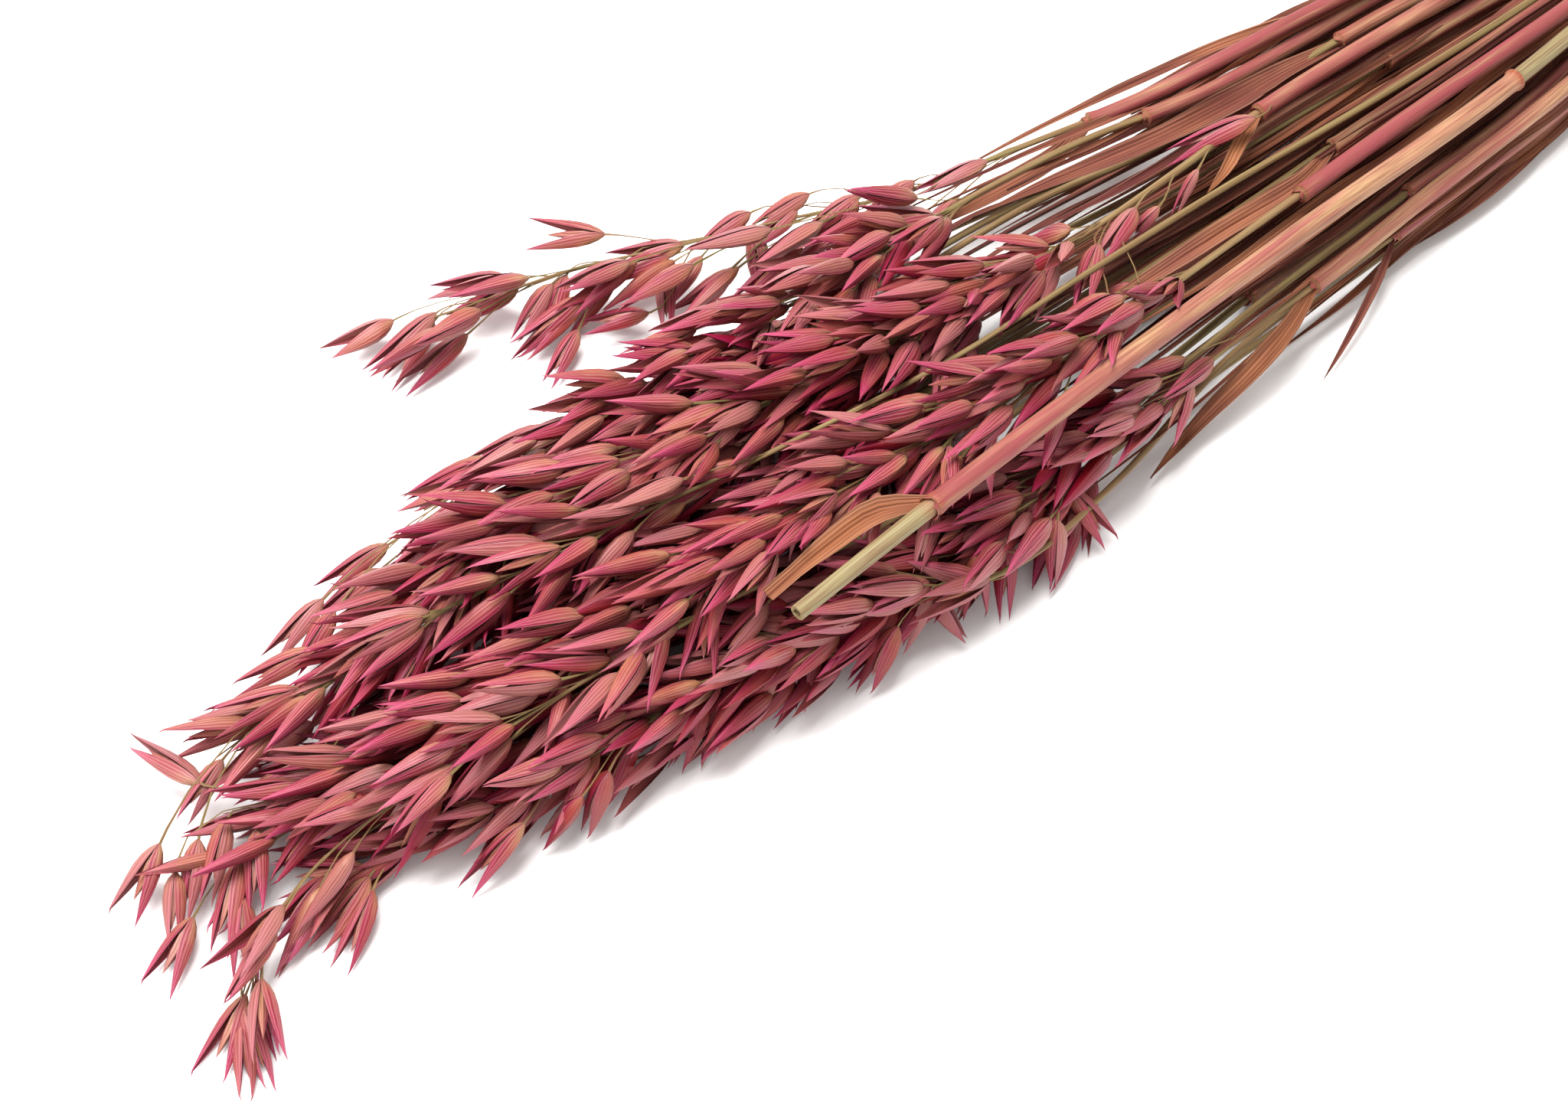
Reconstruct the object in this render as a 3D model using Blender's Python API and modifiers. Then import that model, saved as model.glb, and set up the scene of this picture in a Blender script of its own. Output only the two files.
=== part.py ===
"""A tied bundle of dried oats, dyed pink, lying on its side.

Metres, +Z up. +X runs along the bundle from the seed heads to the cut ends, and the
bundle lies on the plane Z = 0. Every stalk is a leafy stem and a seed head. A stem is a
hollow straw in a thicker leaf sheath, with a leaf blade where the sheath ends. A head is
a thin rachis with spikelets, each of two husks that open in a V.

Routes and sizes are in millimetres, measured from a point on the ground under the heads,
and ORIGIN moves them so that the whole bundle is centred over the world's origin.
"""

import math

import bmesh
import bpy
import numpy as np
from mathutils import geometry

MM = 0.001
ORIGIN = (145.9, 27.1, 0.0)
SEED = 21
NOBODY = -1  # owner of what belongs to no seed head
GAP = 0.3  # least room between two nodes

# The bundle's envelope: at each station along X, how far apart neighbouring lanes lie
# across Y, how far apart the layers lie in Z, and how high the lowest layer lies.
STATION_X = (-200, -160, -110, -50, 20, 100, 160, 260, 340, 385, 415, 470)
LANE = (6.0, 9.5, 13.5, 18.0, 19.5, 18.0, 15.5, 13.0, 7.2, 4.6, 4.6, 6.2)
LAYER = (5.0, 6.0, 8.0, 10.5, 11.5, 10.5, 8.0, 6.8, 5.0, 4.0, 4.0, 4.8)
LOWEST = (4.5, 5.5, 6.5, 7.5, 8.0, 7.5, 6.2, 5.6, 5.0, 4.7, 4.7, 4.8)
SWAY = 2.2  # how far a layered head strays from its lane

TIE_X = 400
CUT_END_X = 468
END_STAGGER = 7.0  # the ends aren't cut quite level
SHEATH_START_X = 352

CULM_RADIUS = 1.75  # bare straw at the cut end
NECK_RADIUS = 1.15  # bare straw where the head begins
SHEATH_RADIUS = 2.25
BORE_SHARE = 0.6  # hollow of the straw, as a share of its radius
BORE_DEPTH = 5.0
RACHIS_RADIUS = 1.05
RACHIS_TIP_RADIUS = 0.55
PEDICEL_RADIUS = 0.45
STEM_STEP = 70.0
RACHIS_STEP = 19.0

SPIKELET_LENGTH = 24.0
SPIKELET_WIDTH = 6.2
SPIKELET_DEPTH = 4.8
SPIKELET_ROOT = 1.5  # how far a spikelet starts behind the middle of what carries it
BELLY_AT = 0.38  # widest place, as a share of the length
CROTCH_AT = 0.62  # where two open husks part
SPIKELETS_PER_HEAD = 14
GOLDEN_SHARE = 0.618  # each next spikelet's place along a head, as a step round its length
TRIES = 24
FLOOR_PRESS = 1.0  # a husk that dips this little below the ground is bent up to it

BLADE_THICKNESS = 0.7
BLADE_FOLD = 0.16  # depth of the fold along the midrib, as a share of the width
BLADE_STEP = 16.0

TWINE_RADIUS = 1.3
TWINE_MIDDLE = 0.9  # height of the lowest run, so that its underside is cut flat
TIE_GAP = 0.75
TIE_TURNS = 3
TURN_PITCH = 2.2

# Stalks in the three lower layers: (layer, lane, neck x, tip x, sheath's end x).
LAYERED = {
    "01": (0, -2.5, 92, -62, 285),
    "02": (0, -1.5, -4, -144, 160),
    "03": (0, -0.5, 84, -70, 205),
    "04": (0, 0.5, -22, -168, 130),
    "05": (0, 1.5, 66, -88, 190),
    "06": (0, 2.5, 100, -44, 300),
    "07": (1, -2.0, 108, -36, 215),
    "08": (1, -1.0, 20, -126, 150),
    "09": (1, 0.0, -10, -156, 175),
    "10": (1, 1.0, 92, -60, 195),
    "11": (1, 2.0, 34, -108, 262),
    "12": (2, -0.5, 52, -98, 205),
    "13": (2, 0.5, 112, -34, 240),
    "14": (2, 1.5, 60, -92, 235),
}
TUCKED = {"01": 6.0}  # how far a head lies further in than its lane

# Stalks on top: (layer and lane at the tie, sheath's end x, thickness, stem's route, head's route).
ON_TOP = {
    "15": (2, 2.5, 158, 1.0, ((300, 24, 21), (240, 29, 26), (171, 38, 24)),
           ((136, 47, 22), (107, 55, 20), (71, 72, 17), (12, 100, 12), (-20, 111, 9))),
    "16": (1, 3.0, 170, 1.0, ((320, 22.5, 13.5), (260, 27, 18), (190, 29, 22.5), (143, 34, 29)),
           ((105, 35, 33), (56, 34, 37), (12, 36, 37), (-36, 43, 31), (-62, 50, 24))),
    "17": (3, 1.0, 191, 1.1, ((267, 9, 27), (191, 9, 31), (150, 5, 35)),
           ((115, 3, 38), (55, 6, 42), (4, 12, 42), (-62, 25, 36))),
    "18": (3, 0.0, 330, 0.8, ((267, -7, 27), (215, -6, 28), (164, -6, 33), (110, -9, 41), (65, -10, 44)),
           ((6, -3, 44), (-48, 8, 40), (-86, 18, 32), (-120, 25, 21), (-142, 29, 13))),
    "19": (3, -1.0, 179, 1.1, ((288, -16, 28), (240, -17, 29), (179, -20, 32)),
           ((129, -25, 39), (87, -28, 43), (44, -26, 44), (-30, -20, 41))),
    "20": (2, -1.5, 215, 0.9, ((260, -20, 19), (160, -24, 23), (90, -31, 30), (20, -32, 32)),
           ((-35, -26, 36), (-67, -22, 33), (-109, -16, 25), (-148, -14, 14), (-165, -20, 9),
            (-176, -31, 5))),
    "21": (2, -2.5, 166, 1.05, ((269, -34, 23), (210, -37, 22), (166, -40, 22)),
           ((134, -41, 23), (93, -46, 23), (55, -46, 18), (6, -43, 14.5))),
    "22": (1, -3.0, 201, 0.95, ((269, -33.5, 13), (200, -37, 14), (134, -40, 14.5), (85, -51, 15)),
           ((42, -56, 19), (12, -48, 22), (-16, -42, 22), (-52, -34, 19), (-102, -28, 11))),
}

# How far the outer heads' spikelets stand off on pedicels, and which way those of one head hang.
PEDICEL_REACH = {"04": 5.0, "15": 17.0, "18": 7.0, "20": 9.0}
HANG = {"15": (0.0, -1.0, -0.3)}

# The headless stalk on top of the bundle: a node ring, its sheath, then bare straw.
CUT_STALK_LANE = (3, -2.0)
CUT_STALK_RADIUS = 2.3
CUT_STALK_RING_X = 251
CUT_STALK_COLLAR_X = 23
CUT_STALK_ROUTE = (
    (276, -26, 32), (251, -29, 34), (161, -36, 44), (81, -43, 52), (23, -48, 56), (-24, -52, 57),
)

# Leaf blades, from the end of the sheath that each grows from: (width, route).
LEAVES = {
    "01": (8.0, ((285, -28, 5.5), (265, -36.5, 6), (240, -41.5, 7), (222, -43, 6.5), (205, -42.5, 5.5))),
    "06": (8.0, ((300, 25, 5.3), (280, 33, 8), (250, 40, 10), (215, 45, 9), (180, 50, 6), (150, 55, 4))),
    "11": (3.5, ((262, 26, 12.5), (245, 31, 17), (215, 39, 20), (180, 45.5, 20), (150, 51, 18),
                (125, 57, 13))),
    "12": (8.0, ((205, -7, 20), (188, -13, 25), (156, -15, 30), (125, -16.5, 33.5), (100, -17, 36))),
    "14": (9.0, ((235, 20, 19), (215, 20, 23), (190, 19, 27), (160, 20, 31), (130, 24, 34), (102, 27, 37))),
    "15": (7.0, ((158, 41, 23), (146, 40, 19), (128, 43, 15), (108, 47, 12.5), (92, 50, 11))),
    "17": (4.5, ((191, 9, 31), (181, 5, 31.5), (171, 1, 28), (164, 0, 25))),
    "21": (6.0, ((166, -40, 22), (156, -43.5, 19), (140, -46, 14), (120, -47.5, 9), (98, -51, 5))),
    "22": (2.6, ((201, -37, 14), (190, -43, 11), (178, -48, 7), (167, -52, 3.8), (158, -55, 1.6))),
    "cut": (7.0, ((23, -48, 57), (10, -41.5, 57.5), (-5, -40.5, 55.5), (-24, -41, 52))),
}

STRAW = (0.58, 0.40, 0.26)
HUSK = (0.44, 0.11, 0.15)
TWINE = (0.45, 0.33, 0.20)


class Route:
    """A smooth line through chosen points, read by the distance from the first one.

    Between two points it is the cubic that has, at each end, the slope of the neighbours.
    """

    def __init__(self, points):
        self.points = np.array(points, float)
        steps = np.linalg.norm(np.diff(self.points, axis=0), axis=1)
        self.knots = np.concatenate(([0.0], np.cumsum(steps)))
        self.slopes = np.gradient(self.points, self.knots, axis=0)
        self.length = self.knots[-1]

    def at(self, distance):
        distance = np.atleast_1d(np.asarray(distance, float))
        i = np.clip(np.searchsorted(self.knots, distance, side="right") - 1, 0, len(self.knots) - 2)
        span = (self.knots[i + 1] - self.knots[i])[:, None]
        u = (distance - self.knots[i])[:, None] / span
        ends = (1 + 2 * u) * (1 - u) ** 2 * self.points[i] + u * u * (3 - 2 * u) * self.points[i + 1]
        turns = u * (1 - u) ** 2 * self.slopes[i] + u * u * (u - 1) * self.slopes[i + 1]
        return ends + turns * span

    def tangent(self, distance):
        ahead = self.at(min(distance + 1.0, self.length))[0] - self.at(max(distance - 1.0, 0.0))[0]
        return ahead / np.linalg.norm(ahead)

    def distance_at_x(self, x):
        along = np.linspace(0.0, self.length, 400)
        return float(np.interp(-x, -self.at(along)[:, 0], along))


def lane_point(x, layer, lane):
    """Where a lane of a layer lies at x."""
    y = lane * np.interp(x, STATION_X, LANE)
    z = np.interp(x, STATION_X, LOWEST) + layer * np.interp(x, STATION_X, LAYER)
    return (x, y, z)


def layered_route(layer, lane, neck_x, tip_x, end_x, phase, tuck):
    """A stalk of a lower layer: it keeps to its lane and sways a little from side to side."""
    stations = [x for x in (end_x, 415, 385, 340, 300, 260, 210, 160, 130) if x > neck_x + 10]
    stations += list(np.linspace(neck_x, tip_x, 7))
    points = []
    for x in stations:
        _, y, z = lane_point(x, layer, lane)
        sway = SWAY * np.interp(x, (60, 200), (1.0, 0.0))
        y += sway * math.sin(x / 31.0 + phase) + tuck * np.interp(x, (60, 200), (1.0, 0.0))
        z += 0.6 * sway * math.sin(x / 23.0 + 2.3 * phase)
        points.append((x, y, z))
    return Route(points)


def top_route(layer, lane, stem, head, end_x):
    """A stalk that shows on top: it leaves its lane after the tie for its own route."""
    tied = [lane_point(x, layer, lane) for x in (end_x, 415, 385)]
    return Route(tied + list(stem) + list(head))


def make_stalks(rng):
    """Every stalk with a head, as its route and where its sheath ends and its head begins."""
    stalks = {}
    for name, (layer, lane, neck_x, tip_x, sheath_x) in LAYERED.items():
        end_x = CUT_END_X + END_STAGGER * rng.uniform(-1, 1)
        route = layered_route(layer, lane, neck_x, tip_x, end_x, 2 * math.pi * rng.random(), TUCKED.get(name, 0.0))
        neck = route.distance_at_x(neck_x)
        stalks[name] = {"route": route, "neck": neck, "sheath_x": sheath_x, "thickness": 1.0}
    for name, (layer, lane, sheath_x, thickness, stem, head) in ON_TOP.items():
        end_x = CUT_END_X + END_STAGGER * rng.uniform(-1, 1)
        route = top_route(layer, lane, stem, head, end_x)
        neck = route.knots[3 + len(stem)]
        stalks[name] = {"route": route, "neck": neck, "sheath_x": sheath_x, "thickness": thickness}
    return stalks


def stem_profile(stalk):
    """Distances along a stem and its radius at each: bare straw, then the sheath, then bare straw."""
    route, neck = stalk["route"], stalk["neck"]
    start = route.distance_at_x(SHEATH_START_X)
    end = route.distance_at_x(stalk["sheath_x"])
    steps = [0.0, start, start + 1.5, end, end + 1.0, neck - GAP / 2]
    inner = np.arange(STEM_STEP, neck - 8.0, STEM_STEP)
    far_from_steps = np.abs(inner[:, None] - np.array(steps)[None]).min(axis=1) > 7.0
    along = np.sort(np.concatenate((steps, inner[far_from_steps])))
    bare = np.interp(along, (0.0, neck), (CULM_RADIUS, NECK_RADIUS))
    sheathed = (along > start + 1.0) & (along < end + 0.5)
    radius = np.where(sheathed, SHEATH_RADIUS, bare) * stalk["thickness"]
    return along, np.where(along <= start, CULM_RADIUS, radius)


def rachis_profile(stalk):
    route, neck = stalk["route"], stalk["neck"]
    count = max(4, round((route.length - neck) / RACHIS_STEP))
    along = np.linspace(neck + GAP / 2, route.length, count)
    share = (along - neck) / (route.length - neck)
    return along, RACHIS_RADIUS + (RACHIS_TIP_RADIUS - RACHIS_RADIUS) * share


def cut_stalk_profile(route):
    """Straw with a raised node ring, then the sheath as far as its collar, then straw again."""
    ring = route.distance_at_x(CUT_STALK_RING_X)
    collar = route.distance_at_x(CUT_STALK_COLLAR_X)
    straw, sheath = CUT_STALK_RADIUS, CUT_STALK_RADIUS + 0.55
    key = (
        (0.0, straw), (ring - 1.5, straw), (ring, sheath + 0.4), (ring + 1.5, sheath),
        (collar, sheath - 0.1), (collar + 1.0, straw - 0.1), (route.length, straw - 0.2),
    )
    key_along = np.array([along for along, _ in key])
    inner = np.arange(STEM_STEP, route.length - 8.0, STEM_STEP)
    inner = inner[np.abs(inner[:, None] - key_along[None]).min(axis=1) > 7.0]
    along = np.sort(np.concatenate((key_along, inner)))
    return along, np.interp(along, key_along, [radius for _, radius in key])


def sample_spheres(points, radii, step):
    """Spheres along a polyline, close enough together to stand for a tube round it."""
    points, radii = np.asarray(points, float), np.broadcast_to(radii, len(points))
    steps = np.linalg.norm(np.diff(points, axis=0), axis=1)
    at = np.concatenate(([0.0], np.cumsum(steps)))
    wanted = np.linspace(0.0, at[-1], max(2, math.ceil(at[-1] / step) + 1))
    centres = np.stack([np.interp(wanted, at, points[:, axis]) for axis in range(3)], axis=1)
    return centres, np.interp(wanted, at, radii)


def spikelet_spheres(spikelet):
    """Spheres inside a spikelet's two husks, and along its pedicel outside the rachis."""
    base, along, across = spikelet["base"], spikelet["along"], spikelet["across"]
    length, half = spikelet["length"], spikelet["half_width"]
    share = np.linspace(0.08, 1.0, 11)[:, None]
    part = np.clip((share - BELLY_AT) / (1 - BELLY_AT), 0.0, 1.0)
    reach = np.sin(spikelet["spread"]) * length
    offset = part * reach + (1 - part) * 0.35 * half * np.clip(share / BELLY_AT, 0.0, 1.0)
    radius = half * np.where(share < BELLY_AT, 0.15 + 0.53 * share / BELLY_AT, 0.08 + 0.6 * (1 - part))
    middle = base + along * (share * length)
    centres = np.concatenate((middle + across * offset, middle - across * offset))
    radii = np.tile(radius[:, 0], 2)
    stand_off = np.linalg.norm(base - spikelet["root"])
    if stand_off > 3.0:
        pedicel = np.stack((spikelet["root"], base))
        more, more_radii = sample_spheres(pedicel, PEDICEL_RADIUS, 1.5)
        clear = np.linalg.norm(more - spikelet["root"], axis=1) > 2.5
        centres = np.concatenate((centres, more[clear]))
        radii = np.concatenate((radii, more_radii[clear]))
    return centres, radii


class Room:
    """Spheres that stand for what is there: their centres, sizes and owner, and if kin keep off them."""

    def __init__(self):
        self.centres = np.empty((0, 3))
        self.radii = np.empty(0)
        self.owners = np.empty(0, int)
        self.firm = np.empty(0, bool)

    def add(self, centres, radii, owner, firm):
        count = len(centres)
        self.centres = np.concatenate((self.centres, centres))
        self.radii = np.concatenate((self.radii, radii))
        self.owners = np.concatenate((self.owners, np.full(count, owner)))
        self.firm = np.concatenate((self.firm, np.broadcast_to(firm, count)))

    def has_space(self, centres, radii, owner, firm):
        """Whether new spheres keep the gap to other nodes, and their firm ones touch no firm kin."""
        if (centres[:, 2] - radii).min() < -FLOOR_PRESS:
            return False
        near = np.linalg.norm(self.centres - centres.mean(axis=0), axis=1) < 42.0
        rooms = np.linalg.norm(self.centres[near][:, None] - centres[None], axis=2)
        rooms -= self.radii[near][:, None] + radii[None]
        own = self.owners[near] == owner
        kin = rooms[own & self.firm[near]][:, firm]
        return rooms[~own].min(initial=1.0) >= GAP and kin.min(initial=1.0) >= 0.0


def draw_spikelet(name, stalk, share, terminal, rng):
    """One candidate spikelet on a stalk's rachis, leaning outwards and towards the tip."""
    route, neck = stalk["route"], stalk["neck"]
    reach = PEDICEL_REACH.get(name, 0.0)
    jitter, turn, lean, spread, roll, size, off = rng.random(7)
    step = 0.05 * (route.length - neck)
    distance = neck + share * (route.length - neck) + step * (jitter - 0.5)
    distance = min(max(distance, neck + 5.0), route.length - 1.0)
    ahead = route.tangent(distance)
    side = np.cross(ahead, (0.0, 0.0, 1.0))
    side /= np.linalg.norm(side)
    rise = np.cross(side, ahead)
    angle = 2 * math.pi * turn
    outward = math.cos(angle) * side + math.sin(angle) * rise
    if name in HANG and outward @ HANG[name] < 0:
        outward = -outward
    tilt = math.radians(4 + 8 * lean if terminal else 14 + 14 * lean)
    along = math.cos(tilt) * ahead + math.sin(tilt) * outward
    twist = math.pi * roll
    across = math.cos(twist) * np.cross(along, outward) + math.sin(twist) * outward
    across -= along * (across @ along)
    across /= np.linalg.norm(across)
    root = route.at(distance)[0]
    stand_off = 0.0 if terminal else reach * (0.3 + 0.7 * off)
    lift = math.cos(0.7) * ahead + math.sin(0.7) * outward
    scale = 0.9 + 0.16 * size
    return {
        "root": root,
        "base": root + lift * stand_off,
        "along": along,
        "across": across,
        "length": SPIKELET_LENGTH * scale,
        "half_width": SPIKELET_WIDTH * scale / 2,
        "spread": math.radians(max(0.0, 17 * spread - 4)),
    }


def place_spikelets(stalks, room, rng):
    """Spikelets for every head in turn, each clear of the other nodes, the ground and its kin."""
    placed = {name: [] for name in stalks}
    for index in range(SPIKELETS_PER_HEAD):
        share = 0.04 + 0.94 * (index * GOLDEN_SHARE % 1.0)
        for owner, (name, stalk) in enumerate(stalks.items()):
            for _ in range(TRIES):
                spikelet = draw_spikelet(name, stalk, share, index == 0, rng)
                centres, radii = spikelet_spheres(spikelet)
                outer = (centres - spikelet["base"]) @ spikelet["along"] > 0.4 * spikelet["length"]
                if room.has_space(centres, radii, owner, outer):
                    room.add(centres, radii, owner, outer)
                    placed[name].append(spikelet)
                    break
    return placed


def add_object(name, mesh, collection):
    obj = bpy.data.objects.new(name, mesh)
    collection.objects.link(obj)
    return obj


def mesh_from(name, points, faces):
    """A mesh from points in millimetres, with its faces turned outwards."""
    mesh = bpy.data.meshes.new(name)
    moved = (np.asarray(points, float) - ORIGIN) * MM
    mesh.from_pydata([tuple(point) for point in moved], [], faces)
    return mesh


def apply_modifiers(obj):
    graph = bpy.context.evaluated_depsgraph_get()
    mesh = bpy.data.meshes.new_from_object(obj.evaluated_get(graph))
    obj.modifiers.clear()
    obj.data = mesh


def tube(name, points, radii, sides, collection, cyclic=False):
    """A tube of changing radius along points, as a welded mesh object."""
    curve = bpy.data.curves.new(name, "CURVE")
    curve.dimensions = "3D"
    curve.bevel_depth = MM
    curve.bevel_resolution = (sides - 4) // 2
    curve.use_fill_caps = True
    spline = curve.splines.new("POLY")
    spline.points.add(len(points) - 1)
    spline.use_cyclic_u = cyclic
    moved = (np.asarray(points, float) - ORIGIN) * MM
    for point, place, radius in zip(spline.points, moved, np.broadcast_to(radii, len(points))):
        point.co = (*place, 1.0)
        point.radius = radius
    guide = add_object(name + "_route", curve, collection)
    graph = bpy.context.evaluated_depsgraph_get()
    mesh = bpy.data.meshes.new_from_object(guide.evaluated_get(graph))
    shaped = bmesh.new()
    shaped.from_mesh(mesh)
    bmesh.ops.remove_doubles(shaped, verts=shaped.verts, dist=1e-6)
    shaped.to_mesh(mesh)
    shaped.free()
    obj = add_object(name, mesh, collection)
    obj.matrix_world = guide.matrix_world
    bpy.data.objects.remove(guide)
    return obj


def hollow_end(obj, end, radius):
    """The straw's bore, as a recess in the cap at one end."""
    shaped = bmesh.new()
    shaped.from_mesh(obj.data)
    place = (np.asarray(end, float) - ORIGIN) * MM
    caps = [face for face in shaped.faces if len(face.verts) == 3]
    middles = np.array([face.calc_center_median() for face in caps])
    caps = [face for face, off in zip(caps, np.abs(middles - place).max(axis=1)) if off < radius * MM]
    cap = bmesh.ops.dissolve_faces(shaped, faces=caps)["region"][0]
    wall = radius * (1 - BORE_SHARE) * MM
    bmesh.ops.inset_individual(shaped, faces=[cap], thickness=wall)
    bmesh.ops.inset_individual(shaped, faces=[cap], thickness=0.02 * MM, depth=-BORE_DEPTH * MM)
    shaped.to_mesh(obj.data)
    shaped.free()


def blade_rows(width, route):
    """Rows of three points across a pointed blade, with a fold along its midrib."""
    line = Route(route)
    count = max(4, math.ceil(line.length / BLADE_STEP) + 1)
    along = np.linspace(0.0, line.length, count)
    share = along / line.length
    half = 0.5 * width * np.interp(share, (0.0, 0.3, 0.6, 1.0), (0.5, 1.0, 0.85, 0.12))
    rows = []
    for distance, middle, reach in zip(along, line.at(along), half):
        ahead = line.tangent(distance)
        side = np.cross(ahead, (0.0, 0.0, 1.0))
        side /= np.linalg.norm(side)
        fold = np.cross(side, ahead) * BLADE_FOLD * 2 * reach
        rows.append((middle - side * reach + fold, middle - fold, middle + side * reach + fold))
    return np.array(rows)


def blade_spheres(width, route):
    """Spheres along lines that run the length of a blade, side by side."""
    rows = blade_rows(width, route)
    left, middle, right = rows[:, 0], rows[:, 1], rows[:, 2]
    lines = (left, (left + middle) / 2, middle, (middle + right) / 2, right)
    pairs = [sample_spheres(line, max(BLADE_THICKNESS, width / 8), 1.5) for line in lines]
    return np.concatenate([centres for centres, _ in pairs]), np.concatenate([radii for _, radii in pairs])


def leaf_blade(name, width, route, collection):
    """A blade cut into the same triangles on both faces."""
    rows = blade_rows(width, route)
    faces = []
    for row in range(len(rows) - 1):
        for column in (0, 1):
            a = 3 * row + column
            b, c, d = a + 1, a + 4, a + 3
            faces += [(a, b, c), (a, c, d)]
    blade = add_object(name, mesh_from(name, rows.reshape(-1, 3), faces), collection)
    solid = blade.modifiers.new("thickness", "SOLIDIFY")
    solid.thickness = BLADE_THICKNESS * MM
    solid.offset = 0.0
    apply_modifiers(blade)
    return blade


def spikelet_object(name, spikelet, collection):
    """Two husks that share a belly and open in a V, or one closed husk where they barely open."""
    base, along, across = spikelet["base"], spikelet["along"], spikelet["across"]
    length, half, spread = spikelet["length"], spikelet["half_width"], spikelet["spread"]
    deep = np.cross(along, across) * half * SPIKELET_DEPTH / SPIKELET_WIDTH
    belly = base + along * BELLY_AT * length
    root = base - along * SPIKELET_ROOT
    points = [root, belly + across * half, belly + deep, belly - across * half, belly - deep]
    faces = [(0, 2, 1), (0, 3, 2), (0, 4, 3), (0, 1, 4)]
    if spread < math.radians(2):
        points.append(base + along * length)
        faces += [(5, 1, 2), (5, 2, 3), (5, 3, 4), (5, 4, 1)]
    else:
        points.append(base + along * CROTCH_AT * length)
        points.append(base + (math.cos(spread) * along + math.sin(spread) * across) * length)
        points.append(base + (math.cos(spread) * along - math.sin(spread) * across) * length)
        faces += [(6, 1, 2), (6, 2, 5), (6, 5, 4), (6, 4, 1)]
        faces += [(7, 3, 4), (7, 4, 5), (7, 5, 2), (7, 2, 3)]
    points = np.array(points)
    points[1:, 2] = np.maximum(points[1:, 2], 0.0)
    return add_object(name, mesh_from(name, points, faces), collection)


def pedicel_object(name, spikelet, collection):
    """The thread that a spikelet hangs on, from inside the rachis to inside the husks."""
    ends = (spikelet["root"], spikelet["base"] + spikelet["along"] * 1.5)
    return tube(name, ends, PEDICEL_RADIUS, 4, collection)


def unite(obj, repeats):
    """Fuses a collection of closed shapes into an object, then removes them."""
    union = obj.modifiers.new("union", "BOOLEAN")
    union.operation = "UNION"
    union.operand_type = "COLLECTION"
    union.collection = repeats
    union.solver = "EXACT"
    apply_modifiers(obj)
    for helper in list(repeats.objects):
        bpy.data.objects.remove(helper)


def finish(obj, material):
    obj.data.materials.clear()
    obj.data.materials.append(material)
    obj.data.shade_smooth()
    obj.data.set_sharp_from_angle(angle=math.radians(38))


def make_material(name, colour, roughness):
    material = bpy.data.materials.new(name)
    material.use_nodes = True
    shader = material.node_tree.nodes["Principled BSDF"]
    shader.inputs["Base Color"].default_value = (*colour, 1.0)
    shader.inputs["Roughness"].default_value = roughness
    shader.inputs["Metallic"].default_value = 0.0
    return material


def make_stem(name, stalk, parts, repeats):
    along, radius = stem_profile(stalk)
    points = stalk["route"].at(along)
    stem = tube("stem_" + name, points, radius, 6, parts)
    hollow_end(stem, points[0], radius[0])
    if name in LEAVES:
        leaf_blade("leaf_" + name, *LEAVES[name], repeats)
        unite(stem, repeats)
    return stem


def make_head(name, stalk, spikelets, parts, repeats):
    along, radius = rachis_profile(stalk)
    head = tube("head_" + name, stalk["route"].at(along), radius, 4, parts)
    for index, spikelet in enumerate(spikelets):
        spikelet_object(f"spikelet_{index}", spikelet, repeats)
        if np.linalg.norm(spikelet["base"] - spikelet["root"]) > 0.5:
            pedicel_object(f"pedicel_{index}", spikelet, repeats)
    unite(head, repeats)
    return head


def make_cut_stalk(parts, repeats, route):
    along, radius = cut_stalk_profile(route)
    points = route.at(along)
    stalk = tube("cut_stalk", points, radius, 6, parts)
    hollow_end(stalk, points[0], radius[0])
    hollow_end(stalk, points[-1], radius[-1])
    leaf_blade("leaf_cut", *LEAVES["cut"], repeats)
    unite(stalk, repeats)
    return stalk


def tie_outline(routes):
    """The middle line of one turn: a taut loop round eight-sided rims that stand clear of each straw."""
    rims = []
    for route, straw in routes:
        _, y, z = route.at(route.distance_at_x(TIE_X))[0]
        reach = (straw + TIE_GAP + TWINE_RADIUS) / math.cos(math.pi / 8)
        for turn in (np.arange(8) + 0.5) * math.pi / 4:
            rims.append((y + reach * math.cos(turn), z + reach * math.sin(turn)))
    outline = []
    for index in geometry.convex_hull_2d(rims):
        y, z = rims[index][0], max(rims[index][1], TWINE_MIDDLE)
        if not outline or math.dist(outline[-1], (y, z)) > TWINE_RADIUS:
            outline.append((y, z))
    return outline


def ground_cutter(cutters):
    """A block whose top is the ground under the tie."""
    box = bmesh.new()
    bmesh.ops.create_cube(box, size=60 * MM)
    bmesh.ops.translate(box, vec=(np.array((TIE_X, 0, -30)) - ORIGIN) * MM, verts=box.verts)
    mesh = bpy.data.meshes.new("ground_cutter")
    box.to_mesh(mesh)
    box.free()
    cutter = add_object("ground_cutter", mesh, cutters)
    cutter.hide_render = True
    cutter.display_type = "WIRE"
    return cutter


def knot_object(place, collection):
    ball = bmesh.new()
    bmesh.ops.create_icosphere(ball, subdivisions=1, radius=2.0 * TWINE_RADIUS * MM)
    bmesh.ops.scale(ball, vec=(1.3, 1.2, 0.8), verts=ball.verts)
    bmesh.ops.translate(ball, vec=(np.array(place) - ORIGIN) * MM, verts=ball.verts)
    mesh = bpy.data.meshes.new("knot")
    ball.to_mesh(mesh)
    ball.free()
    return add_object("knot", mesh, collection)


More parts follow.
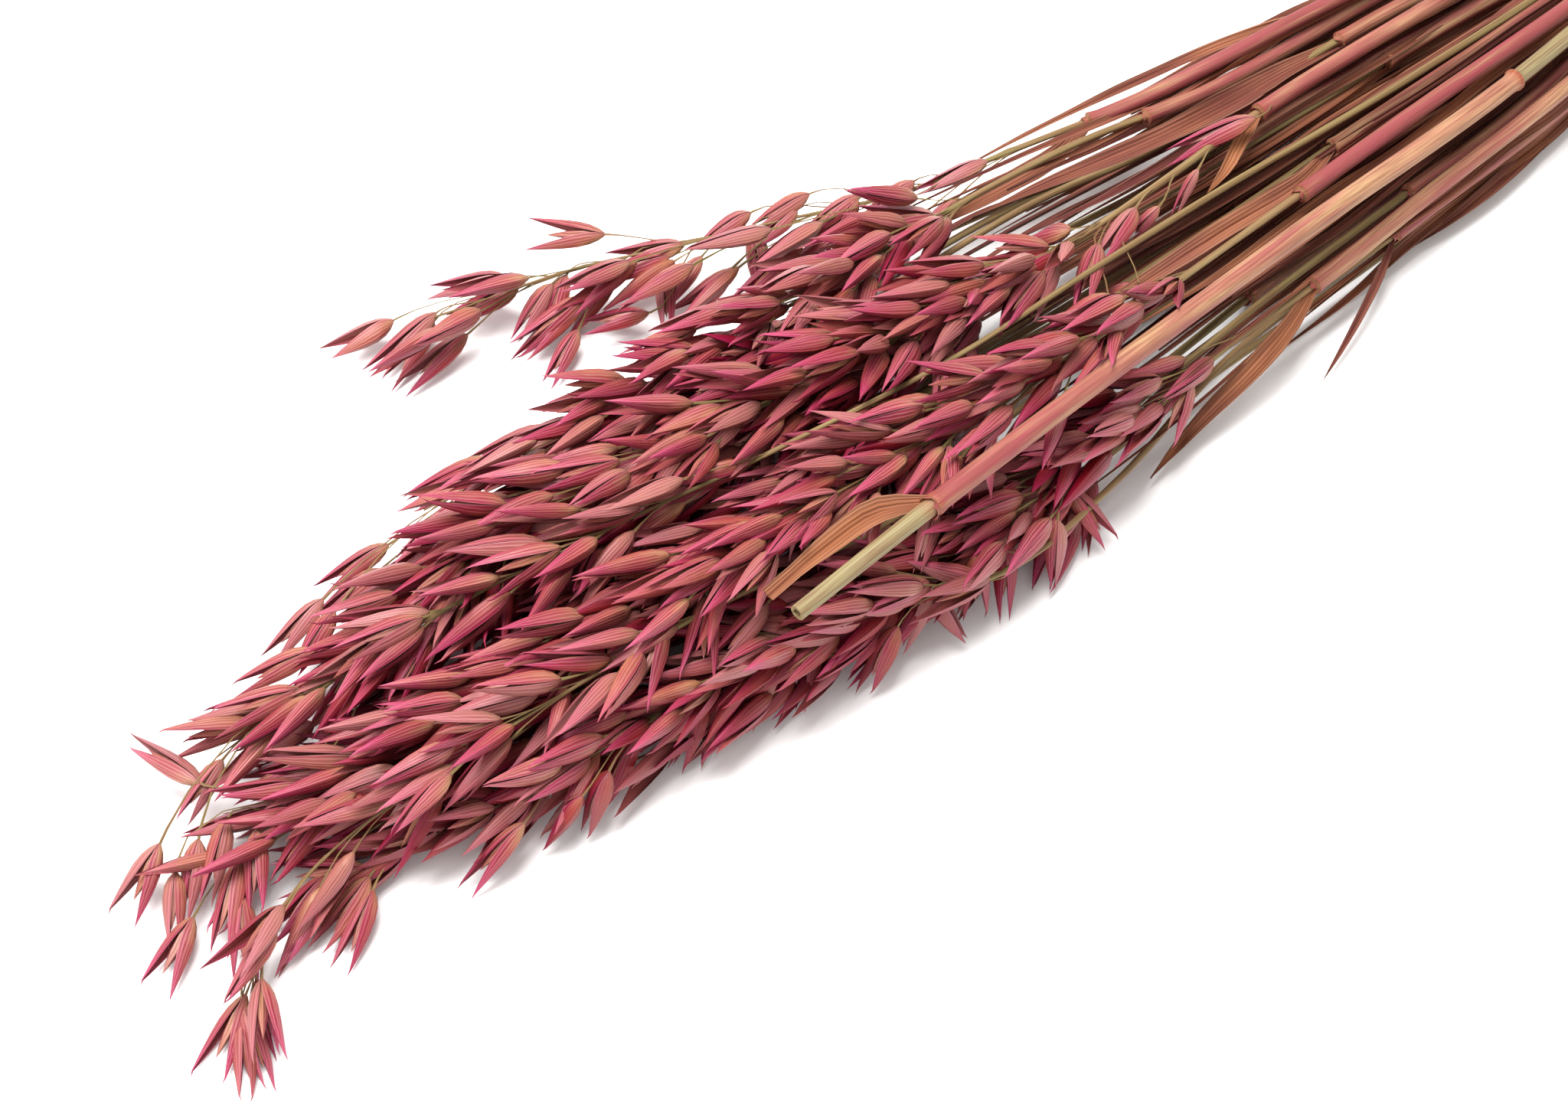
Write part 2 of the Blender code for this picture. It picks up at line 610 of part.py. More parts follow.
def make_tie(routes, parts, repeats, cutters):
    """Turns of twine round all the stems, knotted on top, with a flat underside."""
    outline = tie_outline(routes)
    top_y, top = max(outline, key=lambda point: point[1])
    for turn in range(TIE_TURNS):
        x = TIE_X + (turn - (TIE_TURNS - 1) / 2) * TURN_PITCH
        loop = [(x, y, z) for y, z in outline]
        if turn == 0:
            tie = tube("tie", loop, TWINE_RADIUS, 6, parts, cyclic=True)
        else:
            tube(f"turn_{turn}", loop, TWINE_RADIUS, 6, repeats, cyclic=True)
    knot = (TIE_X, top_y, top + 0.6)
    knot_object(knot, repeats)
    for side in (-1, 1):
        tail = (knot, (TIE_X - 5, top_y + 4 * side, top + 2.6), (TIE_X - 12, top_y + 7 * side, top + 1.8))
        tube(f"tail_{side}", tail, 0.8 * TWINE_RADIUS, 6, repeats)
    unite(tie, repeats)
    cut = tie.modifiers.new("flat underside", "BOOLEAN")
    cut.operation = "DIFFERENCE"
    cut.object = ground_cutter(cutters)
    cut.solver = "EXACT"
    return tie


def fill_room(stalks, cut_route):
    """The stems, rachises and leaf blades, which the spikelets then keep clear of."""
    room = Room()
    for owner, stalk in enumerate(stalks.values()):
        for profile, who in ((stem_profile(stalk), NOBODY), (rachis_profile(stalk), owner)):
            along, radius = profile
            room.add(*sample_spheres(stalk["route"].at(along), radius, 1.5), who, False)
    along, radius = cut_stalk_profile(cut_route)
    room.add(*sample_spheres(cut_route.at(along), radius, 1.5), NOBODY, False)
    for width, route in LEAVES.values():
        room.add(*blade_spheres(width, route), NOBODY, False)
    return room


def main():
    for obj in list(bpy.data.objects):
        bpy.data.objects.remove(obj)
    parts = bpy.data.collections.new("dried_oats_bundle")
    repeats = bpy.data.collections.new("repeats")
    cutters = bpy.data.collections.new("cutters")
    for collection in (parts, repeats, cutters):
        bpy.context.scene.collection.children.link(collection)
    straw = make_material("straw", STRAW, 0.6)
    husk = make_material("husk", HUSK, 0.55)
    twine = make_material("twine", TWINE, 0.9)

    rng = np.random.default_rng(SEED)
    stalks = make_stalks(rng)
    layer, lane = CUT_STALK_LANE
    tied = [lane_point(x, layer, lane) for x in (CUT_END_X, 415, 385)]
    cut_route = Route(tied + list(CUT_STALK_ROUTE))
    placed = place_spikelets(stalks, fill_room(stalks, cut_route), rng)

    for name, stalk in stalks.items():
        finish(make_stem(name, stalk, parts, repeats), straw)
        finish(make_head(name, stalk, placed[name], parts, repeats), husk)
    finish(make_cut_stalk(parts, repeats, cut_route), straw)
    routes = [(stalk["route"], CULM_RADIUS) for stalk in stalks.values()] + [(cut_route, CUT_STALK_RADIUS)]
    finish(make_tie(routes, parts, repeats, cutters), twine)


main()
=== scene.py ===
"""A tied bundle of dried oats, dyed pink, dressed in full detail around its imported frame.

+X runs along the bundle from the seed heads to the cut ends, and +Z is up. Routes and
sizes are in millimetres, measured from a point on the ground under the heads, and ORIGIN
moves them into the frame. The sections follow the bundle as it is put together: stems in
their leaf sheaths, leaf blades, seed heads, the headless stalk on top, and the tie.
"""

import math

import bpy
import numpy as np
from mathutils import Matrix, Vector, geometry


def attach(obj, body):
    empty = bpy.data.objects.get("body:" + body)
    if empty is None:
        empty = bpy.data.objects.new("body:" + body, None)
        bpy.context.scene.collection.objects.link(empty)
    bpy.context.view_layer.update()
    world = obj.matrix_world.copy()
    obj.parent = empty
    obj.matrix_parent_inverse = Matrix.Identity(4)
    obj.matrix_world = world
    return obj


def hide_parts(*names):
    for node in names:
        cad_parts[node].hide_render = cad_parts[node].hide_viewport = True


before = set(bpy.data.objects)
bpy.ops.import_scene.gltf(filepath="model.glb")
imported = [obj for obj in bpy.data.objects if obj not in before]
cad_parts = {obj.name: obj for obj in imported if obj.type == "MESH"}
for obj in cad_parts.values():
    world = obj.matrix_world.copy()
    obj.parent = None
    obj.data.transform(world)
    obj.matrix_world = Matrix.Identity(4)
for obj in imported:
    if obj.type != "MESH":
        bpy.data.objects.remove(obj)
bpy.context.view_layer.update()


# The studio

# A white floor and soft light from behind and above, as for a catalogue picture. The
# camera looks down on the seed heads from the near left, with the cut ends far off.

LOOK_AT = np.array((-0.1459, -0.0451, 0.020))
CAMERA_AZIMUTH = math.radians(-39.5)
CAMERA_ELEVATION = math.radians(55.0)
CAMERA_DISTANCE = 0.9429
FOCAL_LENGTH = 85.0
SENSOR_WIDTH = 36.0
SURROUND = (1.0, 0.99, 0.985, 1.0)
SURROUND_STRENGTH = 0.86
SOFTBOXES = {  # where each stands, its size in metres and its power in watts
    "softbox_above": ((-0.3, 0.25, 1.7), 1.0, 60.0),
    "softbox_left": ((-1.3, 0.3, 1.2), 0.9, 8.0),
}
FLOOR_SIZE = 8.0
FLOOR_Z = -0.0002  # just under the husks that touch the ground
FLOOR_WHITE = (0.95, 0.945, 0.94, 1.0)

scene = bpy.context.scene
scene.view_settings.view_transform = "Standard"


def stand(name, data, place, away):
    """An object of the studio that stands at a place, with its back to where away points."""
    thing = bpy.data.objects.new(name, data)
    thing.location = place
    thing.rotation_euler = Vector(away).to_track_quat("Z", "Y").to_euler()
    scene.collection.objects.link(thing)
    return thing


back = np.array((
    math.sin(CAMERA_AZIMUTH) * math.cos(CAMERA_ELEVATION),
    -math.cos(CAMERA_AZIMUTH) * math.cos(CAMERA_ELEVATION),
    math.sin(CAMERA_ELEVATION),
))
lens = bpy.data.cameras.new("camera")
lens.lens, lens.sensor_width = FOCAL_LENGTH, SENSOR_WIDTH
lens.clip_start, lens.clip_end = 0.02, 30.0
scene.camera = stand("camera", lens, LOOK_AT + back * CAMERA_DISTANCE, back)

world = bpy.data.worlds.new("studio")
world.use_nodes = True
surround = world.node_tree.nodes["Background"].inputs
surround["Color"].default_value = SURROUND
surround["Strength"].default_value = SURROUND_STRENGTH
scene.world = world

for name, (place, size, power) in SOFTBOXES.items():
    lamp = bpy.data.lights.new(name, "AREA")
    lamp.shape = "SQUARE"
    lamp.size = size
    lamp.energy = power
    stand(name, lamp, place, Vector(place) - Vector(LOOK_AT))

floor_mesh = bpy.data.meshes.new("floor")
half = FLOOR_SIZE / 2
corners = ((-half, -half), (half, -half), (half, half), (-half, half))
floor_mesh.from_pydata([(x, y, FLOOR_Z) for x, y in corners], [], [(0, 1, 2, 3)])
floor = bpy.data.objects.new("floor", floor_mesh)
scene.collection.objects.link(floor)
floor_paint = bpy.data.materials.new("white_floor")
floor_paint.use_nodes = True
floor_shader = floor_paint.node_tree.nodes["Principled BSDF"].inputs
floor_shader["Base Color"].default_value = FLOOR_WHITE
floor_shader["Roughness"].default_value = 0.9
floor_shader["Specular IOR Level"].default_value = 0.1
floor_mesh.materials.append(floor_paint)


# Stems

# Each is a hollow oat straw, cut at the thick end, with a swollen node from which a leaf
# sheath wraps it as far as a collar with a small torn frill. Beyond the collar the straw
# is bare up to the seed head. They grew so: nothing is joined, only dyed and dried.

MM = 0.001
ORIGIN = (145.9, 27.1, 0.0)
SEED = 21

# The bundle's envelope: at each station along X, how far apart neighbouring lanes lie
# across Y, how far apart the layers lie in Z, and how high the lowest layer lies.
STATION_X = (-200, -160, -110, -50, 20, 100, 160, 260, 340, 385, 415, 470)
LANE = (6.0, 9.5, 13.5, 18.0, 19.5, 18.0, 15.5, 13.0, 7.2, 4.6, 4.6, 6.2)
LAYER = (5.0, 6.0, 8.0, 10.5, 11.5, 10.5, 8.0, 6.8, 5.0, 4.0, 4.0, 4.8)
LOWEST = (4.5, 5.5, 6.5, 7.5, 8.0, 7.5, 6.2, 5.6, 5.0, 4.7, 4.7, 4.8)
LANE_STOPS = (415, 385, 340, 300, 260, 210, 160, 130)  # where a layered stem keeps to its lane
NECK_CLEAR = 10  # how far before the neck the last of those stops lies
HEAD_STATIONS = 7
SWAY = 2.2
SWAY_RISE = 0.6  # its share up and down
SWAY_WAVES = (31.0, 23.0)  # lengths along X, across and up and down
SWAY_SHIFT = 2.3
SWAY_FADES = (60, 200)  # between these stations the sway of the heads dies out

CUT_END_X = 468
END_STAGGER = 7.0
SHEATH_START_X = 352
NODE_STAGGER = (-46, 12)  # the nodes that the sheaths grow from don't lie in one row
CULM_RADIUS = 1.75
NECK_RADIUS = 0.85
SHEATH_RADIUS = 2.25
SHEATH_LAP = 0.13  # how far its free edge stands out, as a share of the radius
SWELL = 0.02
SWELL_WAVE = 17.0
BORE_SHARE = 0.6
BORE_DEPTH = 5.0
FRILL_HEIGHT = 2.6
FRILL_FLARE = 0.22  # how far its rim leans out, as a share of its height
ROUND_STEM = 16  # sides of a stem
STEM_ROW = 6.0  # distance between its rings of points
SHARP_ANGLE = math.radians(52)

# Stalks in the three lower layers: (layer, lane, neck x, tip x, sheath's end x).
LAYERED = {
    "01": (0, -2.5, 92, -62, 285),
    "02": (0, -1.5, -4, -144, 160),
    "03": (0, -0.5, 84, -70, 205),
    "04": (0, 0.5, -22, -168, 130),
    "05": (0, 1.5, 66, -88, 190),
    "06": (0, 2.5, 100, -44, 300),
    "07": (1, -2.0, 108, -36, 215),
    "08": (1, -1.0, 20, -126, 150),
    "09": (1, 0.0, -10, -156, 175),
    "10": (1, 1.0, 92, -60, 195),
    "11": (1, 2.0, 34, -108, 262),
    "12": (2, -0.5, 52, -98, 205),
    "13": (2, 0.5, 112, -34, 240),
    "14": (2, 1.5, 60, -92, 235),
}
TUCKED = {"01": 6.0}  # how far a head lies further in than its lane

# Stalks on top: (layer and lane at the tie, sheath's end x, thickness, stem's route, head's route).
ON_TOP = {
    "15": (2, 2.5, 158, 1.0, ((300, 24, 21), (240, 29, 26), (171, 38, 24)),
           ((136, 47, 22), (107, 55, 20), (71, 72, 17), (12, 100, 12), (-20, 111, 9))),
    "16": (1, 3.0, 170, 1.0, ((320, 22.5, 13.5), (260, 27, 18), (190, 29, 22.5), (143, 34, 29)),
           ((105, 35, 33), (56, 34, 37), (12, 36, 37), (-36, 43, 31), (-62, 50, 24))),
    "17": (3, 1.0, 191, 1.1, ((267, 9, 27), (191, 9, 31), (150, 5, 35)),
           ((115, 3, 38), (55, 6, 42), (4, 12, 42), (-62, 25, 36))),
    "18": (3, 0.0, 330, 0.8, ((267, -7, 27), (215, -6, 28), (164, -6, 33), (110, -9, 41), (65, -10, 44)),
           ((6, -3, 44), (-48, 8, 40), (-86, 18, 32), (-120, 25, 21), (-142, 29, 13))),
    "19": (3, -1.0, 179, 1.1, ((288, -16, 28), (240, -17, 29), (179, -20, 32)),
           ((129, -25, 39), (87, -28, 43), (44, -26, 44), (-30, -20, 41))),
    "20": (2, -1.5, 215, 0.9, ((260, -20, 19), (160, -24, 23), (90, -31, 30), (20, -32, 32)),
           ((-35, -26, 36), (-67, -22, 33), (-109, -16, 25), (-148, -14, 14), (-165, -20, 9),
            (-176, -31, 5))),
    "21": (2, -2.5, 166, 1.05, ((269, -34, 23), (210, -37, 22), (166, -40, 22)),
           ((134, -41, 23), (93, -46, 23), (55, -46, 18), (6, -43, 14.5))),
    "22": (1, -3.0, 201, 0.95, ((269, -33.5, 13), (200, -37, 14), (134, -40, 14.5), (85, -51, 15)),
           ((42, -56, 19), (12, -48, 22), (-16, -42, 22), (-52, -34, 19), (-102, -28, 11))),
}

# How pink the sheaths are along their length, from straw at 0 to purple-pink at 1.
SHEATH_TONES = {
    "15": (0.6, 0.85, 0.75), "16": (0.3, 0.45, 0.6), "17": (-0.1, 0.3, 0.7), "18": (0.1, 0.2, 0.2),
    "19": (0.3, 0.95, 0.85), "20": (0.4, 0.6, 0.4), "21": (-0.1, 0.1, 0.5), "22": (0.8, 0.6, 0.7),
}


def distances(points):
    """How far along a polyline each of its points lies."""
    return np.concatenate(([0.0], np.cumsum(np.linalg.norm(np.diff(points, axis=0), axis=1))))


class Route:
    """A smooth line through chosen points, read by the distance from the first one.

    Between two points it is the cubic that has, at each end, the slope of the neighbours.
    """

    def __init__(self, points):
        self.points = np.array(points, float)
        self.knots = distances(self.points)
        self.slopes = np.gradient(self.points, self.knots, axis=0)
        self.length = self.knots[-1]

    def at(self, distance):
        """Points of the line at the distances."""
        distance = np.atleast_1d(np.asarray(distance, float))
        i = np.clip(np.searchsorted(self.knots, distance, side="right") - 1, 0, len(self.knots) - 2)
        span = (self.knots[i + 1] - self.knots[i])[:, None]
        u = (distance - self.knots[i])[:, None] / span
        ends = (1 + 2 * u) * (1 - u) ** 2 * self.points[i] + u * u * (3 - 2 * u) * self.points[i + 1]
        turns = u * (1 - u) ** 2 * self.slopes[i] + u * u * (u - 1) * self.slopes[i + 1]
        return ends + turns * span

    def tangent(self, distance):
        """Unit directions: from the point 1 mm before each distance to the point 1 mm after it."""
        distance = np.clip(np.atleast_1d(np.asarray(distance, float)), 0.0, self.length)
        after, before = np.minimum(distance + 1.0, self.length), np.maximum(distance - 1.0, 0.0)
        ahead = self.at(after) - self.at(before)
        return ahead / np.linalg.norm(ahead, axis=1, keepdims=True)

    def distance_at_x(self, x):
        """The distance at which the line, which runs towards lower x, gets to x."""
        along = np.linspace(0.0, self.length, 400)
        return float(np.interp(-x, -self.at(along)[:, 0], along))


def lane_point(x, layer, lane):
    """Where a lane of a layer lies at x."""
    y = lane * np.interp(x, STATION_X, LANE)
    z = np.interp(x, STATION_X, LOWEST) + layer * np.interp(x, STATION_X, LAYER)
    return (x, y, z)


def layered_route(layer, lane, neck_x, tip_x, end_x, phase, tuck):
    """A stalk of a lower layer: it keeps to its lane and sways a little from side to side."""
    stations = [x for x in (end_x, *LANE_STOPS) if x > neck_x + NECK_CLEAR]
    stations += list(np.linspace(neck_x, tip_x, HEAD_STATIONS))
    points = []
    for x in stations:
        _, y, z = lane_point(x, layer, lane)
        loose = np.interp(x, SWAY_FADES, (1.0, 0.0))
        sway = SWAY * loose
        y += sway * math.sin(x / SWAY_WAVES[0] + phase) + tuck * loose
        z += SWAY_RISE * sway * math.sin(x / SWAY_WAVES[1] + SWAY_SHIFT * phase)
        points.append((x, y, z))
    return Route(points)


def make_stalks(rng):
    """Every stalk with a head, as its route and where its sheath ends and its head begins."""
    stalks = {}
    for name, (layer, lane, neck_x, tip_x, sheath_x) in LAYERED.items():
        end_x = CUT_END_X + END_STAGGER * rng.uniform(-1, 1)
        phase = 2 * math.pi * rng.random()
        route = layered_route(layer, lane, neck_x, tip_x, end_x, phase, TUCKED.get(name, 0.0))
        neck = route.distance_at_x(neck_x)
        stalks[name] = {"route": route, "neck": neck, "sheath_x": sheath_x, "thickness": 1.0}
    for name, (layer, lane, sheath_x, thickness, stem, head) in ON_TOP.items():
        end_x = CUT_END_X + END_STAGGER * rng.uniform(-1, 1)
        tied = [lane_point(x, layer, lane) for x in (end_x, *LANE_STOPS[:2])]
        route = Route(tied + list(stem) + list(head))
        neck = route.knots[len(tied) + len(stem)]
        stalks[name] = {"route": route, "neck": neck, "sheath_x": sheath_x, "thickness": thickness}
    return stalks


def lay_out(middle, side, up, across, rise):
    """Each ring's points: its middle, plus across values along its side, plus rise values along its up."""
    points = middle[..., None, :] + across[..., None] * side[..., None, :]
    return points + rise[..., None] * up[..., None, :]


def carry(middle, ahead, across, rise):
    """A section carried along a path: its side is level, and its up is square to the side and the path."""
    side = np.cross(ahead, (0.0, 0.0, 1.0))
    side /= np.maximum(np.linalg.norm(side, axis=-1, keepdims=True), 1e-9)
    return lay_out(middle, side, np.cross(side, ahead), across, rise)


def circle(reach, sides):
    """A circle's across and rise values: its reach times the cosine and the sine of even turns."""
    turn = 2 * math.pi * np.arange(sides) / sides
    return reach * np.cos(turn), reach * np.sin(turn)


def close_skin(rings, uv, dye, start=None, end=None):
    """Closed surfaces from rings of points, as arrays for a mesh.

    rings holds copies x rows x columns of points. Each row closes on itself, and the first
    and last rows close on a pole: the row's middle, or the point given. uv has one column
    more than rings, so that a pattern runs right round. dye holds four numbers a point.
    """
    copies, rows, columns, _ = rings.shape
    start = rings[:, 0].mean(axis=1) if start is None else start
    end = rings[:, -1].mean(axis=1) if end is None else end
    points = np.concatenate((rings.reshape(copies, -1, 3), start[:, None], end[:, None]), axis=1)
    dye = np.broadcast_to(dye, (copies, rows, columns, 4))
    dye = np.concatenate((dye.reshape(copies, -1, 4), dye[:, 0, :1], dye[:, -1, :1]), axis=1)
    uv = np.broadcast_to(uv, (copies, rows, columns + 1, 2)).reshape(copies, -1, 2)

    def quads_of(row, column, following, wide):
        """Four-sided faces between neighbouring rows of a grid that is so many points wide."""
        here, there = row * wide, (row + 1) * wide
        corners = (here + column, there + column, there + following, here + following)
        return np.stack(corners, axis=-1).reshape(-1, 4)

    row, column = np.mgrid[: rows - 1, :columns]
    here = np.arange(columns)
    there = (here + 1) % columns
    last, pole = (rows - 1) * columns, np.full(columns, rows * columns)
    first_fan = np.stack((pole, here, there), axis=1)
    last_fan = np.stack((pole + 1, last + there, last + here), axis=1)
    far = (rows - 1) * (columns + 1) + here
    fan_uv = np.concatenate((
        np.stack((here, here, here + 1), axis=1), np.stack((far, far + 1, far), axis=1),
    ))
    copy = np.arange(copies)[:, None, None]
    point_step, uv_step = copy * points.shape[1], copy * uv.shape[1]
    return {
        "points": points.reshape(-1, 3), "dye": dye.reshape(-1, 4), "uv": uv.reshape(-1, 2),
        "quads": (quads_of(row, column, (column + 1) % columns, columns) + point_step).reshape(-1, 4),
        "fans": (np.concatenate((first_fan, last_fan)) + point_step).reshape(-1, 3),
        "quad_uv": (quads_of(row, column, column + 1, columns + 1) + uv_step).reshape(-1, 4),
        "fan_uv": (fan_uv + uv_step).reshape(-1, 3),
    }


def make_piece(name, skins, finishes):
    """One mesh object from pairs of a closed skin and the number of its finish.

    The points come in millimetres. None lies below the ground.
    """
    def joined(key):
        return np.concatenate([skin[key] for skin, _ in skins])

    points = (joined("points") - ORIGIN) * MM
    points[:, 2] = np.maximum(points[:, 2], 0.0)
    corners, corner_uv, sizes, finish_numbers = [], [], [], []
    first_point = first_uv = 0
    for skin, finish in skins:
        for faces, places in ((skin["quads"], skin["quad_uv"]), (skin["fans"], skin["fan_uv"])):
            corners.append((faces + first_point).ravel())
            corner_uv.append((places + first_uv).ravel())
            sizes.append(np.full(len(faces), faces.shape[1]))
            finish_numbers.append(np.full(len(faces), finish))
        first_point += len(skin["points"])
        first_uv += len(skin["uv"])
    corners, sizes = np.concatenate(corners), np.concatenate(sizes)
    mesh = bpy.data.meshes.new(name)
    mesh.vertices.add(len(points))
    mesh.vertices.foreach_set("co", points.ravel())
    mesh.loops.add(len(corners))
    mesh.loops.foreach_set("vertex_index", corners.astype(np.int32))
    mesh.polygons.add(len(sizes))
    mesh.polygons.foreach_set("loop_start", (np.cumsum(sizes) - sizes).astype(np.int32))
    mesh.polygons.foreach_set("material_index", np.concatenate(finish_numbers).astype(np.int32))
    grain = mesh.uv_layers.new(name="grain")
    grain.data.foreach_set("uv", joined("uv")[np.concatenate(corner_uv)].ravel().astype(np.float32))
    dye = mesh.attributes.new("dye", "FLOAT_COLOR", "POINT")
    dye.data.foreach_set("color", joined("dye").ravel().astype(np.float32))
    for finish in finishes:
        mesh.materials.append(finish)
    mesh.update(calc_edges=True)
    mesh.shade_smooth()
    mesh.set_sharp_from_angle(angle=SHARP_ANGLE)
    piece = bpy.data.objects.new(name, mesh)
    scene.collection.objects.link(piece)
    return piece


def grid_uv(across, along):
    """UV of a grid: how far across its columns lie and how far along its rows lie."""
    return np.stack(np.broadcast_arrays(across, along[:, None]), axis=-1)


def round_uv(along, radius, columns):
    """UV in millimetres: the way round a tube of this radius, and the way along it."""
    return grid_uv(2 * math.pi * radius * np.arange(columns + 1) / columns, along)


def stack_dye(shape, *masks):
    """Four masks, each spread over the same grid of points."""
    return np.stack([np.broadcast_to(mask, shape) for mask in masks], axis=-1)


def straw_skin(route, along, radius, overlap, masks, seed, columns=ROUND_STEM, bores=(1, 0)):
    """A straw: circles carried along a route, with a sheath's edge lapping over its other edge.

    The radius grows by the overlap from the hidden edge round to the free one, where it
    steps back. A cut end turns inwards to a rim and down the bore, a share of the radius
    wide: it has two rings more than an end that grows on. The bottom of the bore takes the
    node ring's red-brown, fading out towards the rim: painted shade down the bore.
    """
    lap = 1.0 + np.asarray(overlap)[:, None] * (np.arange(columns) / (columns - 1) - 0.5)
    more = (2 * bores[0], 2 * bores[1])
    rows = np.pad(np.arange(len(along)), more, mode="edge")
    inner = np.pad(np.ones(len(along)), more, constant_values=BORE_SHARE)
    reach = (radius[:, None] * lap)[rows] * inner[:, None]
    place = along[rows].astype(float)
    place[0] += BORE_DEPTH * bores[0]
    place[-1] -= BORE_DEPTH * bores[1]
    rings = carry(route.at(place), route.tangent(place), *circle(reach, columns))
    # Painted shade: the bottom row of a cut bore takes the node ring's red-brown, fading towards the rim.
    dark = np.zeros(len(rows))
    dark[0], dark[-1] = bores
    sheathed, pink, ring = (mask[rows] for mask in masks)
    dye = stack_dye(
        rings.shape[:2], sheathed[:, None], pink[:, None], np.maximum(ring, dark)[:, None], seed)
    return close_skin(rings[None], round_uv(place, CULM_RADIUS, columns), dye[None])


def frill_skin(route, collar, radius, height, rng, columns=14):
    """The torn frill at a collar: a thin cone off the straw, up its outside and down its inside."""
    torn = height * rng.uniform(0.35, 1.0, columns)
    lean = rng.uniform(0.5, 1.3, columns)
    share = np.array((-0.3, 0.3, 1.0, 0.95, 0.3, -0.3))[:, None]
    skin = np.array((0.3, 0.32, 0.3, 0.2, 0.16, 0.02))[:, None]
    along = collar + share * torn
    reach = radius + skin + FRILL_FLARE * lean * np.maximum(share, 0.0) ** 2 * height
    place = np.full(len(share), collar)
    ahead = route.tangent(place)
    rings = carry(route.at(place), ahead, *circle(reach, columns))
    rings = rings + ahead[:, None] * (along - collar)[..., None]
    dye = stack_dye((len(share), columns), 1.0, 0.8, 0.2, rng.random())
    return close_skin(rings[None], round_uv(along[:, 0], radius, columns), dye[None])


def add_node(tree, kind, inputs=None, **settings):
    """A shader node with its settings, and with each input set to a value or linked to a socket."""
    node = tree.nodes.new(kind)
    for key, value in settings.items():
        setattr(node, key, value)
    for key, value in (inputs or {}).items():
        if isinstance(value, bpy.types.NodeSocket):
            tree.links.new(value, node.inputs[key])
        else:
            node.inputs[key].default_value = value
    return node


def make_fibre_group():
    """Lengthwise plant fibres as two masks, fine and coarse.

    Each is a noise read in a place that is squeezed across the fibres and drawn out along
    them, with its middle values spread over the whole way from 0 to 1.
    """
    group = bpy.data.node_groups.new("lengthwise_fibres", "ShaderNodeTree")
    group.interface.new_socket("Place", in_out="INPUT", socket_type="NodeSocketVector")
    for socket in ("Seed", "Width", "Length"):
        group.interface.new_socket(socket, in_out="INPUT", socket_type="NodeSocketFloat")
    for socket in ("Fibres", "Streaks"):
        group.interface.new_socket(socket, in_out="OUTPUT", socket_type="NodeSocketFloat")
    given = group.nodes.new("NodeGroupInput").outputs
    ends = group.nodes.new("NodeGroupOutput").inputs
    parts = add_node(group, "ShaderNodeSeparateXYZ", {"Vector": given["Place"]}).outputs

    def reckon(operation, first, second):
        return add_node(group, "ShaderNodeMath", {0: first, 1: second}, operation=operation).outputs[0]

    for socket, wider, longer, shift in (("Fibres", 1.0, 1.0, 17.0), ("Streaks", 5.0, 2.2, 53.0)):
        place = add_node(group, "ShaderNodeCombineXYZ", {
            "X": reckon("DIVIDE", parts["X"], given["Width"]),
            "Y": reckon("DIVIDE", parts["Y"], given["Length"]),
            "Z": reckon("MULTIPLY", given["Seed"], shift),
        })
        squeezed = add_node(group, "ShaderNodeVectorMath", {
            0: place.outputs[0], 1: (1 / wider, 1 / longer, 1.0)}, operation="MULTIPLY")
        noise = add_node(group, "ShaderNodeTexNoise", {
            "Vector": squeezed.outputs[0], "Scale": 1.0, "Detail": 2.0, "Roughness": 0.6})
        spread = add_node(group, "ShaderNodeMapRange", {
            "Value": noise.outputs["Fac"], "From Min": 0.3, "From Max": 0.7})
        group.links.new(spread.outputs["Result"], ends[socket])
    return group


def colour(red, green, blue):
    """A colour as seen on a screen, 0 to 255, turned into the linear values that light works in."""
    seen = np.array((red, green, blue)) / 255.0
    linear = np.where(seen <= 0.04045, seen / 12.92, ((seen + 0.055) / 1.055) ** 2.4)
    return (*(float(value) for value in linear), 1.0)


